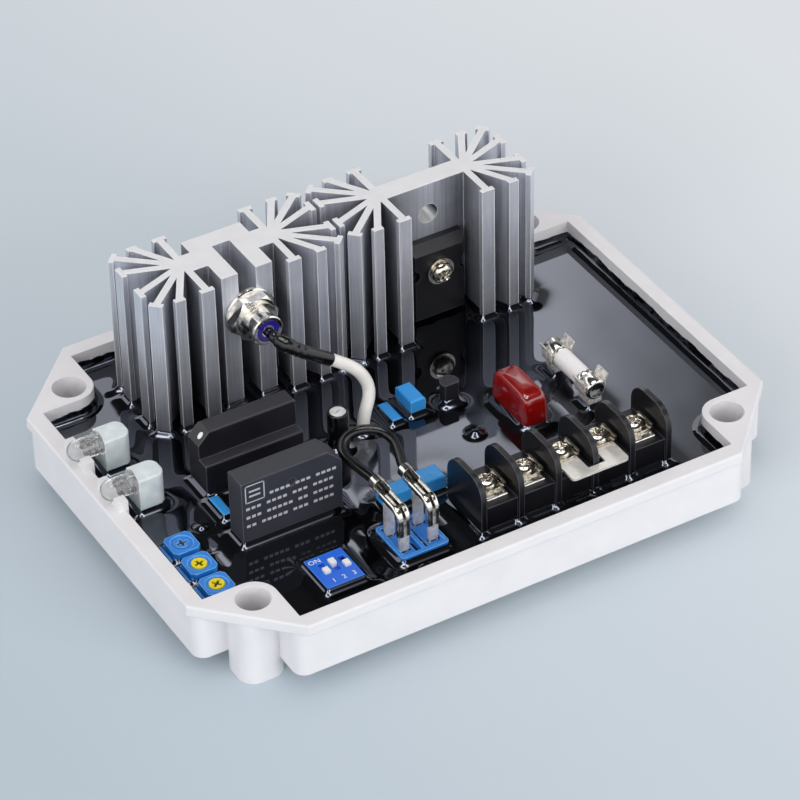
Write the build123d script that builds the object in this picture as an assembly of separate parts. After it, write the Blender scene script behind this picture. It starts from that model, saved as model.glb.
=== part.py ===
from build123d import *
from math import atan2, cos, degrees, hypot, radians, tan
import os

# Automatic voltage regulator of a generator: an open white tray, filled with black
# potting compound, with a circuit board in it that carries two star-fin heat sinks,
# a power transistor, a stud rectifier with its lead, a screw terminal block, a fuse
# in clips, a header for push-on connectors, switches, trimmers and lamps.
# Frame: origin under the middle of the tray in the plane of its feet, +X along the
# long side, +Y to the long side with the heat sinks, +Z up. Sizes in millimetres.

# Tray
tray_length = 150.0
tray_width = 116.2
wall_height = 14.6
foot_drop = 4.8
rim_width = 4.07
rim_overhang = 1.0
rim_thickness = 2.6
rim_edge_radius = 0.5
floor_thickness = 2.0
corner_cut_x = 19.1
corner_cut_y = 19.6
ear_reach_x = 19.28
ear_reach_y = 19.89
ear_radius = 5.6
ear_wall = 2.4
wall_end_radius = 3.0
hole_pitch_x = 122.9
hole_pitch_y = 87.4
hole_diameter = 8.0
foot_wall = 1.4
foot_corner_radius = 3.9
post_diameter = 6.0
post_pitch_x = 100.0
post_pitch_y = 60.0

# Circuit board and potting compound
post_height = 4.7
board_thickness = 1.6
board_clearance = 1.2
potting_below_rim = 4.8

# Heat sinks, both cut from the same star-fin extrusion shape
sink_length = 50.2
sink_depth = 24.2
sink_height = 38.1
sink_gap = 1.05
sink_pair_x = 0.92
sink_to_back_wall = 9.23
hub_to_end = 13.5
hub_radius = 2.6
fin_thickness = 1.65
fin_bar_depth = 1.3
straight_fin_to_end = 13.95
straight_bar = 3.4
slanted_fin_to_end = 7.0
slanted_bar = 2.6
corner_bar = 3.3
side_bar = 3.7
side_fin_spread = 4.55
left_web_front = 3.4
left_web_back = 3.1
block_half_width = 6.5
block_front = 9.7
channel_width = 4.6
channel_end = 2.7
back_body_half_width = 7.65
back_body_reach = 7.5
right_web_front = 2.3
right_web_back = 3.0
web_hole_diameter = 5.0
web_hole_offset = 0.65
web_hole_height = 29.8

# Stud rectifier in the channel of the left heat sink
stud_height = 26.7
stud_clearance = 0.1
stud_length = 11.0
stud_washer_diameter = 12.6
stud_washer_thickness = 1.0
stud_washer_bevel = 0.3
hex_flats = 10.6
hex_thickness = 2.9
hex_corner_bevel = 0.7
flange_diameter = 9.4
flange_thickness = 0.7
can_diameter = 7.0
can_length = 5.2
can_rim_diameter = 7.7
can_rim_length = 1.1
can_rim_bevel = 0.25
insulator_outer = 5.6
insulator_inner = 3.0
insulator_recess = 0.8

# Share of the shorter run beside a bend that the arc of a lead takes
bend_share = 0.45

# Lead of the stud rectifier, with a black sleeve on its first stretch
lead_diameter = 3.0
sleeve_wall = 0.15
lead_direct = 2.6
lead_steps = [
    (1.1, -2.4, -0.7),
    (2.6, -1.9, -1.7),
    (4.7, -1.0, -3.0),
    (4.6, -0.2, -3.0),
    (4.9, -1.5, -3.6),
    (1.8, -2.0, -5.2),
    (-4.4, -3.2, -4.8),
]
sleeve_span_count = 5

# Power transistor on the web of the right heat sink; of the room beside it between the
# straight fins, the given share lies on its right
transistor_width = 14.3
transistor_thickness = 3.6
transistor_top = 23.5
transistor_bottom = 2.8
transistor_right_share = 0.28
transistor_bevel = 0.7
transistor_top_bevel = 2.4
transistor_top_bevel_depth = 1.7
transistor_notch_radius = 1.9
transistor_leg_width = 1.2
transistor_leg_thickness = 0.6
transistor_leg_pitch = 5.45
transistor_screw_height = 15.5
transistor_screw_diameter = 3.0
transistor_screw_length = 7.0
transistor_head_diameter = 5.4
transistor_head_height = 2.0
transistor_washer_diameter = 7.0
transistor_washer_thickness = 0.8

# Black bridge rectifier with its ledge, and the black module in front of it
bridge_x = -38.45
bridge_front = -3.3
bridge_length = 24.9
bridge_depth = 8.1
bridge_ledge_depth = 3.2
bridge_ledge_height = 10.1
bridge_height = 16.9
bridge_chamfer = 3.0
bridge_edge_radius = 0.5
module_x = -39.7
module_y = -19.7
module_length = 25.2
module_depth = 6.0
module_height = 19.1
module_chamfer = 3.4
module_dimple_diameter = 2.2
module_dimple_depth = 0.4
module_edge_radius = 0.4

# Small components on the board: place of the middle, then length, depth, height
electrolytic_place = (-16.7, -2.7)
electrolytic_diameter = 5.0
electrolytic_height = 11.6
electrolytic_bevel = 0.35
electrolytic_groove_depth = 0.3
electrolytic_groove_height = 0.7
electrolytic_groove_bottom = 1.9
dipped_place = (25.3, -12.9)
dipped_size = (6.9, 15.6, 10.1)
dipped_corner_radius = 2.5
dipped_top_radius = 2.2
small_transistor_place = (13.2, -1.7)
small_transistor_diameter = 4.5
small_transistor_flat = 1.4
small_transistor_height = 7.3
film_edge_radius = 0.5
film_parts = {
    "film_capacitor_rear_wide": (4.45, 1.05, 3.9, 7.1, 5.9),
    "film_capacitor_rear_slim": (-1.2, 0.85, 2.8, 7.3, 2.8),
    "film_capacitor_left": (-50.3, -8.35, 2.4, 7.5, 2.8),
}
film_by_header = (3.3, 6.8, 4.2, 5.9)
film_to_header = 5.2
film_by_terminals = (-1.7, 7.0, 5.1, 5.9)
film_to_terminals = 3.5

# Fuse in its two spring clips
fuse_x = 40.4
fuse_y = -12.1
fuse_height = 6.7
fuse_length = 20.0
fuse_diameter = 5.2
fuse_cap_length = 5.3
fuse_cap_wall = 0.25
fuse_cap_radius = 0.6
clip_length = 4.0
clip_thickness = 0.4
clip_opening_height = 1.3
clip_ear_length = 2.3
clip_ear_lean = 26.0
clip_leg_width = 3.6
clip_to_fuse_end = 0.9

# Screw terminal block
terminal_left = -6.0
terminal_pitch = 9.72
terminal_bays = 5
terminal_wall = 1.4
terminal_to_front_wall = 6.68
terminal_wall_depth = 14.65
terminal_wall_height = 15.9
terminal_wall_radius = 5.0
terminal_body_inset = 0.65
deck_height = 8.3
terminal_screw_setback = 7.15
terminal_screw_diameter = 3.0
terminal_screw_clearance = 0.06
terminal_screw_length = 6.0
terminal_head_diameter = 5.4
terminal_head_height = 1.6
terminal_slot_width = 0.9
terminal_slot_depth = 0.6
first_screw_turn = 20.0
screw_turn_step = 25.0
plate_thickness = 0.8
plate_width = 5.2
plate_length = 7.3
plate_setback = 1.7
saddle_width = 6.8
saddle_depth = 5.8
saddle_thickness = 0.6
saddle_lip = 0.8
link_thickness = 0.6
link_tongue_width = 5.2
link_tongue_length = 13.2
link_bar_depth = 2.0
link_front_reach = 2.3
link_bay_count_before = 2

# Screw heads: bevel as a share of their height, recess as a share of their width
head_bevel_share = 0.45
recess_share = 0.6

# Header with four upright tabs and two push-on connectors
header_x = -19.7
header_to_front_wall = 7.53
header_length = 12.0
header_depth = 12.4
header_height = 3.3
header_corner_radius = 0.8
header_wall = 0.9
header_recess = 0.9
header_rib = 0.9
header_slot_width = 1.1
header_slot_length = 8.6
header_slot_depth = 0.8
tab_width = 2.4
tab_thickness = 0.8
tab_pitch_x = 7.4
tab_pitch_y = 6.3
tab_middle_y = 0.45
tab_tip_cut = 0.5
tab_hole_diameter = 1.1
tab_hole_below_tip = 1.6
rear_tab_height = 12.2
tab_tip_clearance = 0.1
tab_face_clearance = 0.05
connector_sheet = 0.4
connector_width = 3.4
connector_height = 1.7
connector_edge_radius = 0.75
connector_slot = 0.8
connector_bend_radius = 1.2
connector_run = 6.7
connector_drop = 5.4
trough_length = 2.2
crimp_length = 2.2
crimp_wall = 0.55
crimp_seam = 0.4

# Jumper lead between the two push-on connectors: places of its bends from the
# point midway between the mouths of the two crimped rings
jumper_diameter = 2.4
jumper_straight = 0.6
jumper_bends = [
    (-4.7, 5.9, 0.1),
    (-5.54, 11.39, 0.4),
    (-3.27, 15.37, 0.6),
    (1.08, 16.81, 0.7),
    (5.28, 14.99, 0.6),
    (7.2, 10.84, 0.3),
    (5.6, 5.4, 0.1),
]

# Three-way slide switch
switch_x = -39.65
switch_to_front_wall = 8.13
switch_length = 9.3
switch_depth = 10.7
switch_height = 2.8
slider_pitch = 2.54
slider_shift = 0.6
slider_width = 1.4
slider_length = 1.8
slider_travel = 2.0
slider_gap = 0.1
slider_seat_depth = 0.9
slider_proud = 0.6
slider_front_y = -0.05

# Three trimmers along the left wall
trimmer_to_left_wall = 6.33
trimmer_to_ear = 2.01
trimmer_pitch = 8.05
trimmer_length = 6.6
trimmer_depth = 6.5
trimmer_height = 4.2
trimmer_corner_cut = 0.9
trimmer_base_step = 1.0
trimmer_base_height = 2.8
trimmer_bar_inset = 0.35
trimmer_slot_width = 0.45
trimmer_slot_depth = 1.2
trimmer_dish_diameter = 5.2
trimmer_dish_depth = 0.3
rotor_diameter = 3.5
rotor_thickness = 1.2
rotor_gap = 0.08
rotor_slot_width = 0.7
rotor_slot_depth = 0.5
rotor_slot_length = 2.45
rotor_turns = {"rear": 0, "middle": 15, "front": 40}

# Lamps that look out over the left wall
holder_to_left_wall = 4.63
holder_length = 6.8
holder_depth = 6.3
holder_height = 11.0
holder_round_radius = 2.4
lamp_ys = {"rear": 18.75, "front": 2.35}
lamp_diameter = 5.0
lamp_flange_diameter = 5.8
lamp_flange_thickness = 1.0
lamp_reach = 8.0
lamp_over_rim = 0.1

# Cradle on the left wall for each lamp: a low block with a half-round notch
cradle_length = 10.4
cradle_thickness = 2.4
cradle_inset = 0.7
cradle_drop = 2.8
cradle_under_axis = 0.1
cradle_clearance = 0.2

# Levels and inner faces that follow from the sizes above
z_wall_bottom = foot_drop
z_floor = z_wall_bottom + floor_thickness
z_board = z_floor + post_height + board_thickness
z_rim = z_wall_bottom + wall_height
z_potting = z_rim - potting_below_rim
left_inner = -tray_length / 2 + rim_width
front_inner = -tray_width / 2 + rim_width
back_inner = tray_width / 2 - rim_width
sink_y = back_inner - sink_to_back_wall - sink_depth / 2
sink_step = (sink_length + sink_gap) / 2
left_sink_x = sink_pair_x - sink_step
right_sink_x = sink_pair_x + sink_step
hub_offset = sink_length / 2 - hub_to_end
straight_fin_x = sink_length / 2 - straight_fin_to_end
transistor_room = 2 * straight_fin_x - fin_thickness - transistor_width
transistor_x = right_sink_x + transistor_room * (0.5 - transistor_right_share)


def block(x0, x1, y0, y1, z0, z1):
    """Cuboid between two corners."""
    return Pos((x0 + x1) / 2, (y0 + y1) / 2, (z0 + z1) / 2) * Box(x1 - x0, y1 - y0, z1 - z0)


def rod(x, y, z, radius, length, axis):
    """Cylinder that starts at a point and runs along the given axis."""
    return extrude(Plane(origin=(x, y, z), z_dir=axis) * Circle(radius), length)


def notched_outline(length, width, notch_x, notch_y, inner_radius, end_radius):
    """Rectangle with a notch in each corner and rounded corners of two kinds."""
    outline = Rectangle(length, width)
    x_in = length / 2 - notch_x
    y_in = width / 2 - notch_y
    for side_x in (-1, 1):
        for side_y in (-1, 1):
            corner = Rectangle(2 * notch_x, 2 * notch_y)
            outline -= Pos(side_x * length / 2, side_y * width / 2) * corner
    near = 0.01
    corners = outline.vertices()
    inner = [v for v in corners if abs(v.X) < x_in + near and abs(v.Y) < y_in + near]
    outline = fillet(inner, inner_radius)
    if end_radius:
        corners = outline.vertices()
        ends = [
            v for v in corners
            if (abs(abs(v.X) - x_in) < near and abs(abs(v.Y) - width / 2) < near)
            or (abs(abs(v.Y) - y_in) < near and abs(abs(v.X) - length / 2) < near)
        ]
        outline = fillet(ends, end_radius)
    return outline


def cavity_outline(gap):
    """Inside of the tray seen from above, drawn in by a gap."""
    return notched_outline(
        tray_length - 2 * rim_width - 2 * gap,
        tray_width - 2 * rim_width - 2 * gap,
        ear_reach_x - rim_width,
        ear_reach_y - rim_width,
        ear_radius,
        0,
    )


def corner_places():
    """Places of the four mounting holes."""
    return [(sx * hole_pitch_x / 2, sy * hole_pitch_y / 2) for sx in (-1, 1) for sy in (-1, 1)]


def post_places():
    """Places of the four posts that carry the board."""
    return [(sx * post_pitch_x / 2, sy * post_pitch_y / 2) for sx in (-1, 1) for sy in (-1, 1)]


def make_tray():
    """Walls that step back behind each foot, floor, rim, feet, board posts and lamp cradles."""
    shell = notched_outline(
        tray_length - 2 * rim_overhang,
        tray_width - 2 * rim_overhang,
        ear_reach_x - ear_wall - rim_overhang,
        ear_reach_y - ear_wall - rim_overhang,
        ear_radius - ear_wall,
        wall_end_radius,
    )
    tray = Pos(0, 0, z_wall_bottom) * extrude(shell, wall_height - rim_thickness)
    rim = Polygon(
        (-tray_length / 2, -tray_width / 2 + corner_cut_y),
        (-tray_length / 2 + corner_cut_x, -tray_width / 2),
        (tray_length / 2 - corner_cut_x, -tray_width / 2),
        (tray_length / 2, -tray_width / 2 + corner_cut_y),
        (tray_length / 2, tray_width / 2 - corner_cut_y),
        (tray_length / 2 - corner_cut_x, tray_width / 2),
        (-tray_length / 2 + corner_cut_x, tray_width / 2),
        (-tray_length / 2, tray_width / 2 - corner_cut_y),
        align=None,
    )
    plate = extrude(rim, rim_thickness)
    plate = fillet(plate.edges().group_by(Axis.Z)[-1], rim_edge_radius)
    tray += Pos(0, 0, z_rim - rim_thickness) * plate
    foot_side = hole_diameter + 2 * foot_wall
    foot = RectangleRounded(foot_side, foot_side, foot_corner_radius)
    for x, y in corner_places():
        tray += Pos(x, y, 0) * extrude(foot, z_rim - rim_thickness)
    cavity = Pos(0, 0, z_floor) * extrude(cavity_outline(0), z_rim - z_floor)
    tray -= cavity
    for x, y in corner_places():
        tray -= rod(x, y, 0, hole_diameter / 2, z_rim, (0, 0, 1))
    for x, y in post_places():
        tray += rod(x, y, z_floor, post_diameter / 2, post_height, (0, 0, 1))
    x1 = left_inner + cradle_inset
    x0 = x1 - cradle_thickness
    axis_z = lamp_axis_z()
    top = axis_z - cradle_under_axis
    for y in lamp_ys.values():
        tray += block(x0, x1, y - cradle_length / 2, y + cradle_length / 2, z_rim - cradle_drop, top)
        tray -= rod(x0, y, axis_z, lamp_diameter / 2 + cradle_clearance, cradle_thickness, (1, 0, 0))
    return tray


def make_board():
    """Circuit board on the posts, clear of the walls."""
    board = extrude(cavity_outline(board_clearance), board_thickness)
    return Pos(0, 0, z_board - board_thickness) * board


def fin(root, tip, bar_length, bar_angle):
    """Straight fin from a root to a tip, with a short bar across the tip."""
    run = hypot(tip[0] - root[0], tip[1] - root[1])
    angle = degrees(atan2(tip[1] - root[1], tip[0] - root[0]))
    strip = Rectangle(run, fin_thickness, align=(Align.MIN, Align.CENTER))
    bar = Rectangle(bar_length, fin_bar_depth)
    return [Pos(*root) * Rot(0, 0, angle) * strip, Pos(*tip) * Rot(0, 0, bar_angle) * bar]


def fin_cluster():
    """Star of fins round one hub, on the right of the sink's middle."""
    hub = (hub_offset, 0)
    front = sink_depth / 2 - fin_bar_depth / 2
    side = sink_length / 2 - fin_bar_depth / 2
    slant = (corner_bar + fin_bar_depth) / 2 * hypot(1, 1) / 2
    slanted = sink_length / 2 - slanted_fin_to_end
    faces = [Pos(*hub) * Circle(hub_radius)]
    for way in (-1, 1):
        faces += fin((straight_fin_x, 0), (straight_fin_x, way * front), straight_bar, 0)
        faces += fin(hub, (slanted, way * front), slanted_bar, 0)
        corner = (sink_length / 2 - slant, way * (sink_depth / 2 - slant))
        faces += fin(hub, corner, corner_bar, -way * 45)
        faces += fin(hub, (side, way * side_fin_spread), side_bar, 90)
    star = faces[0]
    for face in faces[1:]:
        star += face
    return star


def sink_section(web_front, web_back):
    """Two stars of fins joined by a web."""
    star = fin_cluster()
    section = star + mirror(star, about=Plane.YZ)
    web = Rectangle(2 * hub_offset, web_front + web_back)
    return section + Pos(0, (web_back - web_front) / 2) * web


def make_left_sink():
    """Sink with two thick front blocks, a channel between them and a thick back."""
    section = sink_section(left_web_front, left_web_back)
    front = Rectangle(2 * block_half_width, block_front, align=(Align.CENTER, Align.MAX))
    back = Rectangle(2 * back_body_half_width, back_body_reach, align=(Align.CENTER, Align.MIN))
    channel = Rectangle(channel_width, block_front + channel_end, align=(Align.CENTER, Align.MIN))
    section += front
    section += back
    section -= Pos(0, -block_front) * channel
    return Pos(left_sink_x, sink_y, z_board) * extrude(section, sink_height)


def make_right_sink():
    """Sink with a plain web, drilled for the transistor and once more above it."""
    section = sink_section(right_web_front, right_web_back)
    sink = Pos(right_sink_x, sink_y, z_board) * extrude(section, sink_height)
    front = sink_y - right_web_front
    depth = right_web_front + right_web_back
    hole_x = right_sink_x + web_hole_offset
    sink -= rod(hole_x, front, z_board + web_hole_height, web_hole_diameter / 2, depth, (0, 1, 0))
    tapped = transistor_screw_length - transistor_thickness - transistor_washer_thickness
    screw_z = z_board + transistor_screw_height
    sink -= rod(transistor_x, front, screw_z, transistor_screw_diameter / 2, tapped, (0, 1, 0))
    return sink


def make_transistor():
    """Flat black package with bevelled front edges, side notches and three legs."""
    x = transistor_x
    back = sink_y - right_web_front
    front = back - transistor_thickness
    half = transistor_width / 2
    body = block(x - half, x + half, front, back, z_board + transistor_bottom, z_board + transistor_top)
    top_edge = body.edges().filter_by(Axis.X).group_by(Axis.Y)[0].sort_by(Axis.Z)[-1]
    body = chamfer(top_edge, transistor_top_bevel, transistor_top_bevel_depth)
    body = chamfer(body.edges().filter_by(Axis.Z).group_by(Axis.Y)[0], transistor_bevel)
    screw_z = z_board + transistor_screw_height
    notch_depth = transistor_thickness / 2
    for side in (-1, 1):
        body -= rod(x + side * half, front, screw_z, transistor_notch_radius, notch_depth, (0, 1, 0))
    body -= rod(x, front, screw_z, transistor_screw_diameter / 2, transistor_thickness, (0, 1, 0))
    leg_back = back - (transistor_thickness - transistor_leg_thickness) / 2
    for place in (-1, 0, 1):
        leg_x = x + place * transistor_leg_pitch
        leg_half = transistor_leg_width / 2
        body += block(
            leg_x - leg_half, leg_x + leg_half,
            leg_back - transistor_leg_thickness, leg_back,
            z_board, z_board + transistor_bottom,
        )
    return body


def cross_cut(size, width, depth):
    """Cross recess of a screw head, centred on the origin and cut downwards."""
    arm = Box(size, width, depth, align=(Align.CENTER, Align.CENTER, Align.MAX))
    other = Box(width, size, depth, align=(Align.CENTER, Align.CENTER, Align.MAX))
    return arm + other


def pan_screw(head_diameter, head_height, shank_diameter, shank_length, slot_width, slot_depth):
    """Pan-head screw along -Z with the underside of its head at the origin."""
    head = Cylinder(head_diameter / 2, head_height, align=(Align.CENTER, Align.CENTER, Align.MIN))
    head = chamfer(head.edges().group_by(Axis.Z)[-1], head_height * head_bevel_share)
    shank = Cylinder(shank_diameter / 2, shank_length, align=(Align.CENTER, Align.CENTER, Align.MAX))
    cut = Pos(0, 0, head_height) * cross_cut(head_diameter * recess_share, slot_width, slot_depth)
    return head + shank - cut


def make_transistor_fixings():
    """Washer against the package, then the screw through it into the web."""
    x = transistor_x
    z = z_board + transistor_screw_height
    front = sink_y - right_web_front - transistor_thickness
    washer = rod(x, front, z, transistor_washer_diameter / 2, transistor_washer_thickness, (0, -1, 0))
    washer -= rod(x, front, z, transistor_screw_diameter / 2, transistor_washer_thickness, (0, -1, 0))
    screw = pan_screw(
        transistor_head_diameter, transistor_head_height,
        transistor_screw_diameter, transistor_screw_length,
        terminal_slot_width, terminal_slot_depth,
    )
    face = front - transistor_washer_thickness
    screw = Plane(origin=(x, face, z), x_dir=(1, 0, 0), z_dir=(0, -1, 0)) * screw
    return screw, washer


def make_stud_rectifier():
    """Stud in the channel, hexagon with turned corners, flange, round can with a rim
    and a recessed front, and a bevelled washer."""
    x = left_sink_x
    z = z_board + stud_height
    seat = sink_y - block_front
    washer_front = seat - stud_washer_thickness
    stud_radius = channel_width / 2 - stud_clearance
    washer = rod(x, seat, z, stud_washer_diameter / 2, stud_washer_thickness, (0, -1, 0))
    washer = chamfer(washer.edges().group_by(Axis.Y)[0], stud_washer_bevel)
    washer -= rod(x, seat, z, stud_radius, stud_washer_thickness, (0, -1, 0))
    hexagon = RegularPolygon(hex_flats / 2, 6, major_radius=False)
    facing = Plane(origin=(x, washer_front, z), x_dir=(1, 0, 0), z_dir=(0, -1, 0))
    across_corners = hex_flats / cos(radians(30))
    turned = rod(x, washer_front, z, across_corners / 2, hex_thickness, (0, -1, 0))
    turned = chamfer(turned.edges().group_by(Axis.Y)[0], hex_corner_bevel)
    device = extrude(facing * hexagon, hex_thickness) & turned
    hex_front = washer_front - hex_thickness
    can_front = hex_front - can_length
    device += rod(x, hex_front, z, flange_diameter / 2, flange_thickness, (0, -1, 0))
    device += rod(x, hex_front, z, can_diameter / 2, can_length, (0, -1, 0))
    rim = rod(x, can_front, z, can_rim_diameter / 2, can_rim_length, (0, 1, 0))
    device += chamfer(rim.edges(), can_rim_bevel)
    device += rod(x, washer_front, z, stud_radius, stud_length, (0, 1, 0))
    device -= rod(x, can_front, z, insulator_outer / 2, insulator_recess, (0, 1, 0))
    ring = rod(x, can_front, z, insulator_outer / 2, insulator_recess, (0, 1, 0))
    ring -= rod(x, can_front, z, insulator_inner / 2, insulator_recess, (0, 1, 0))
    device += rod(x, can_front, z, insulator_inner / 2, insulator_recess, (0, 1, 0))
    return device, washer, ring, (x, can_front, z)


def route(start, first, steps):
    """Points of a lead: a start, a first run and then one step after another."""
    points = [Vector(*start), Vector(*start) + Vector(*first)]
    for step in steps:
        points.append(points[-1] + Vector(*step))
    return points


def bend_radii(points):
    """Radius of each bend: as large as the shorter of its two runs allows."""
    radii = []
    for before, here, after in zip(points, points[1:], points[2:]):
        turn = (here - before).get_angle(after - here)
        run = min((here - before).length, (after - here).length)
        radii.append(bend_share * run / tan(radians(turn) / 2))
    return radii


def tube(points, radius, bore=0.0):
    """Round tube along straight runs that are joined by tangent arcs."""
    path = FilletPolyline(*points, radius=bend_radii(points))
    start = Plane(origin=points[0], z_dir=(points[1] - points[0]).normalized())
    solid = sweep(start * Circle(radius), path=path)
    if bore:
        solid -= sweep(start * Circle(bore), path=path)
    return solid


def make_rectifier_lead(start):
    """Lead from the can's front down to the board, and the sleeve on its start."""
    points = route(start, (0, -lead_direct, 0), lead_steps)
    points.append(Vector(points[-1].X, points[-1].Y, z_board))
    lead = tube(points, lead_diameter / 2)
    covered = points[:sleeve_span_count + 1]
    covered[-1] = (points[sleeve_span_count - 1] + points[sleeve_span_count]) * 0.5
    radii = bend_radii(points)
    path = FilletPolyline(*covered, radius=radii[:sleeve_span_count - 1])
    mouth = Plane(origin=points[0], z_dir=(0, -1, 0))
    outer = sweep(mouth * Circle(lead_diameter / 2 + sleeve_wall), path=path)
    sleeve = outer - sweep(mouth * Circle(lead_diameter / 2), path=path)
    report("rectifier lead", points, lead, lead_diameter)
    return lead, sleeve


def report(name, points, solid, diameter):
    """Print a lead's bends, length and volume against its section times length."""
    radii = bend_radii(points)
    path = FilletPolyline(*points, radius=radii)
    length = path.length
    section = 3.14159 * diameter ** 2 / 4
    print(name, "length", round(length, 2), "radii", [round(r, 1) for r in radii])
    print(name, "volume", round(solid.volume, 2), "expected", round(section * length, 2))


def make_bridge():
    """Flat block with a cut top corner on the left and a lower ledge in front."""
    x0 = bridge_x - bridge_length / 2
    x1 = bridge_x + bridge_length / 2
    y0 = bridge_front
    y1 = bridge_front + bridge_depth
    ledge_back = y0 + bridge_ledge_depth
    body = block(x0, x1, ledge_back, y1, z_board, z_board + bridge_height)
    corner = body.edges().filter_by(Axis.Y).group_by(Axis.Z)[-1].sort_by(Axis.X)[0]
    body = chamfer(corner, bridge_chamfer)
    body = fillet(body.edges().group_by(Axis.Z)[-1], bridge_edge_radius)
    ledge = block(x0, x1, y0, ledge_back, z_board, z_board + bridge_ledge_height)
    front_top = ledge.edges().filter_by(Axis.X).group_by(Axis.Z)[-1].sort_by(Axis.Y)[0]
    ledge = fillet(front_top, bridge_edge_radius)
    return body + ledge


def make_module():
    """Upright block with a cut top corner on the right and a round dimple."""
    x0 = module_x - module_length / 2
    x1 = module_x + module_length / 2
    y0 = module_y - module_depth / 2
    y1 = module_y + module_depth / 2
    top = z_board + module_height
    body = block(x0, x1, y0, y1, z_board, top)
    corner = body.edges().filter_by(Axis.Y).group_by(Axis.Z)[-1].sort_by(Axis.X)[-1]
    body = chamfer(corner, module_chamfer)
    body = fillet(body.edges().group_by(Axis.Z)[-1], module_edge_radius)
    dimple_z = top - 2 * module_dimple_diameter
    body -= rod(module_x, y0, dimple_z, module_dimple_diameter / 2, module_dimple_depth, (0, 1, 0))
    return body


def make_electrolytic():
    """Upright can with a groove above its foot and a bevelled top edge."""
    x, y = electrolytic_place
    radius = electrolytic_diameter / 2
    can = rod(x, y, z_board, radius, electrolytic_height, (0, 0, 1))
    can = chamfer(can.edges().group_by(Axis.Z)[-1], electrolytic_bevel)
    groove_z = z_board + electrolytic_groove_bottom
    groove = rod(x, y, groove_z, radius, electrolytic_groove_height, (0, 0, 1))
    groove -= rod(x, y, groove_z, radius - electrolytic_groove_depth, electrolytic_groove_height, (0, 0, 1))
    return can - groove


def make_dipped_capacitor():
    """Pillow-shaped dipped capacitor."""
    x, y = dipped_place
    length, depth, height = dipped_size
    body = block(x - length / 2, x + length / 2, y - depth / 2, y + depth / 2, z_board, z_board + height)
    body = fillet(body.edges().filter_by(Axis.Z), dipped_corner_radius)
    return fillet(body.edges().group_by(Axis.Z)[-1], dipped_top_radius)


def make_small_transistor():
    """Small round package with one flat side."""
    x, y = small_transistor_place
    radius = small_transistor_diameter / 2
    body = rod(x, y, z_board, radius, small_transistor_height, (0, 0, 1))
    cut = block(
        x - radius, x + radius,
        y - radius, y - small_transistor_flat,
        z_board, z_board + small_transistor_height,
    )
    return body - cut


def make_film_capacitor(size):
    """Upright box capacitor with rounded top edges."""
    x, y, length, depth, height = size
    body = block(x - length / 2, x + length / 2, y - depth / 2, y + depth / 2, z_board, z_board + height)
    return fillet(body.edges().group_by(Axis.Z)[-1], film_edge_radius)


def make_fuse():
    """Ceramic tube with a round-edged nickel cap at each end."""
    z = z_board + fuse_height
    radius = fuse_diameter / 2
    y0 = fuse_y - fuse_length / 2
    y1 = fuse_y + fuse_length / 2
    tube_length = fuse_length - 2 * fuse_cap_wall
    body = rod(fuse_x, y0 + fuse_cap_wall, z, radius - fuse_cap_wall, tube_length, (0, 1, 0))
    caps = []
    for y, way in ((y0, 1), (y1, -1)):
        cap = rod(fuse_x, y, z, radius, fuse_cap_length, (0, way, 0))
        cap = fillet(cap.edges().group_by(Axis.Y)[0 if way > 0 else -1], fuse_cap_radius)
        inner = y + way * fuse_cap_wall
        cap -= rod(fuse_x, inner, z, radius - fuse_cap_wall, fuse_cap_length, (0, way, 0))
        caps.append(cap)
    return body, Compound(children=caps)


def make_fuse_clips():
    """Spring clips: a ring open at the top, two leaning ears and a leg to the board."""
    radius = fuse_diameter / 2
    outer = radius + clip_thickness
    ring = Circle(outer) - Circle(radius)
    ring -= Pos(0, clip_opening_height) * Rectangle(4 * outer, 4 * outer, align=(Align.CENTER, Align.MIN))
    half_chord = (outer ** 2 - clip_opening_height ** 2) ** 0.5
    profile = ring
    for side in (-1, 1):
        ear = Rectangle(clip_thickness, clip_ear_length, align=(Align.CENTER, Align.MIN))
        foot = Pos(side * (half_chord - clip_thickness / 2), clip_opening_height - clip_thickness)
        profile += foot * Rot(0, 0, -side * clip_ear_lean) * ear
    leg_height = fuse_height - radius - clip_thickness / 2
    leg = Rectangle(clip_leg_width, leg_height, align=(Align.CENTER, Align.MIN))
    profile += Pos(0, -fuse_height) * leg
    profile -= Circle(radius)
    clips = []
    for side in (-1, 1):
        y = fuse_y + side * (fuse_length / 2 - clip_length / 2 - clip_to_fuse_end)
        facing = Plane(origin=(fuse_x, y, z_board + fuse_height), x_dir=(1, 0, 0), z_dir=(0, -1, 0))
        clips.append(extrude(facing * profile, clip_length / 2, both=True))
    return Compound(children=clips)


def bay_middle(bay):
    """Middle of a terminal bay, counted from the left."""
    return terminal_left + terminal_wall + (terminal_pitch - terminal_wall) / 2 + bay * terminal_pitch


def linked_bays():
    """Numbers of the two bays that the link joins."""
    return [link_bay_count_before + step for step in range(2)]


def saddle_seats():
    """Height above the board at which each saddle washer lies: on its plate or on the link."""
    seats = []
    for bay in range(terminal_bays):
        seats.append(deck_height + plate_thickness + (link_thickness if bay in linked_bays() else 0.0))
    return seats


def terminal_heads():
    """Height of the underside of each screw head above the board."""
    return [seat + saddle_thickness for seat in saddle_seats()]


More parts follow.
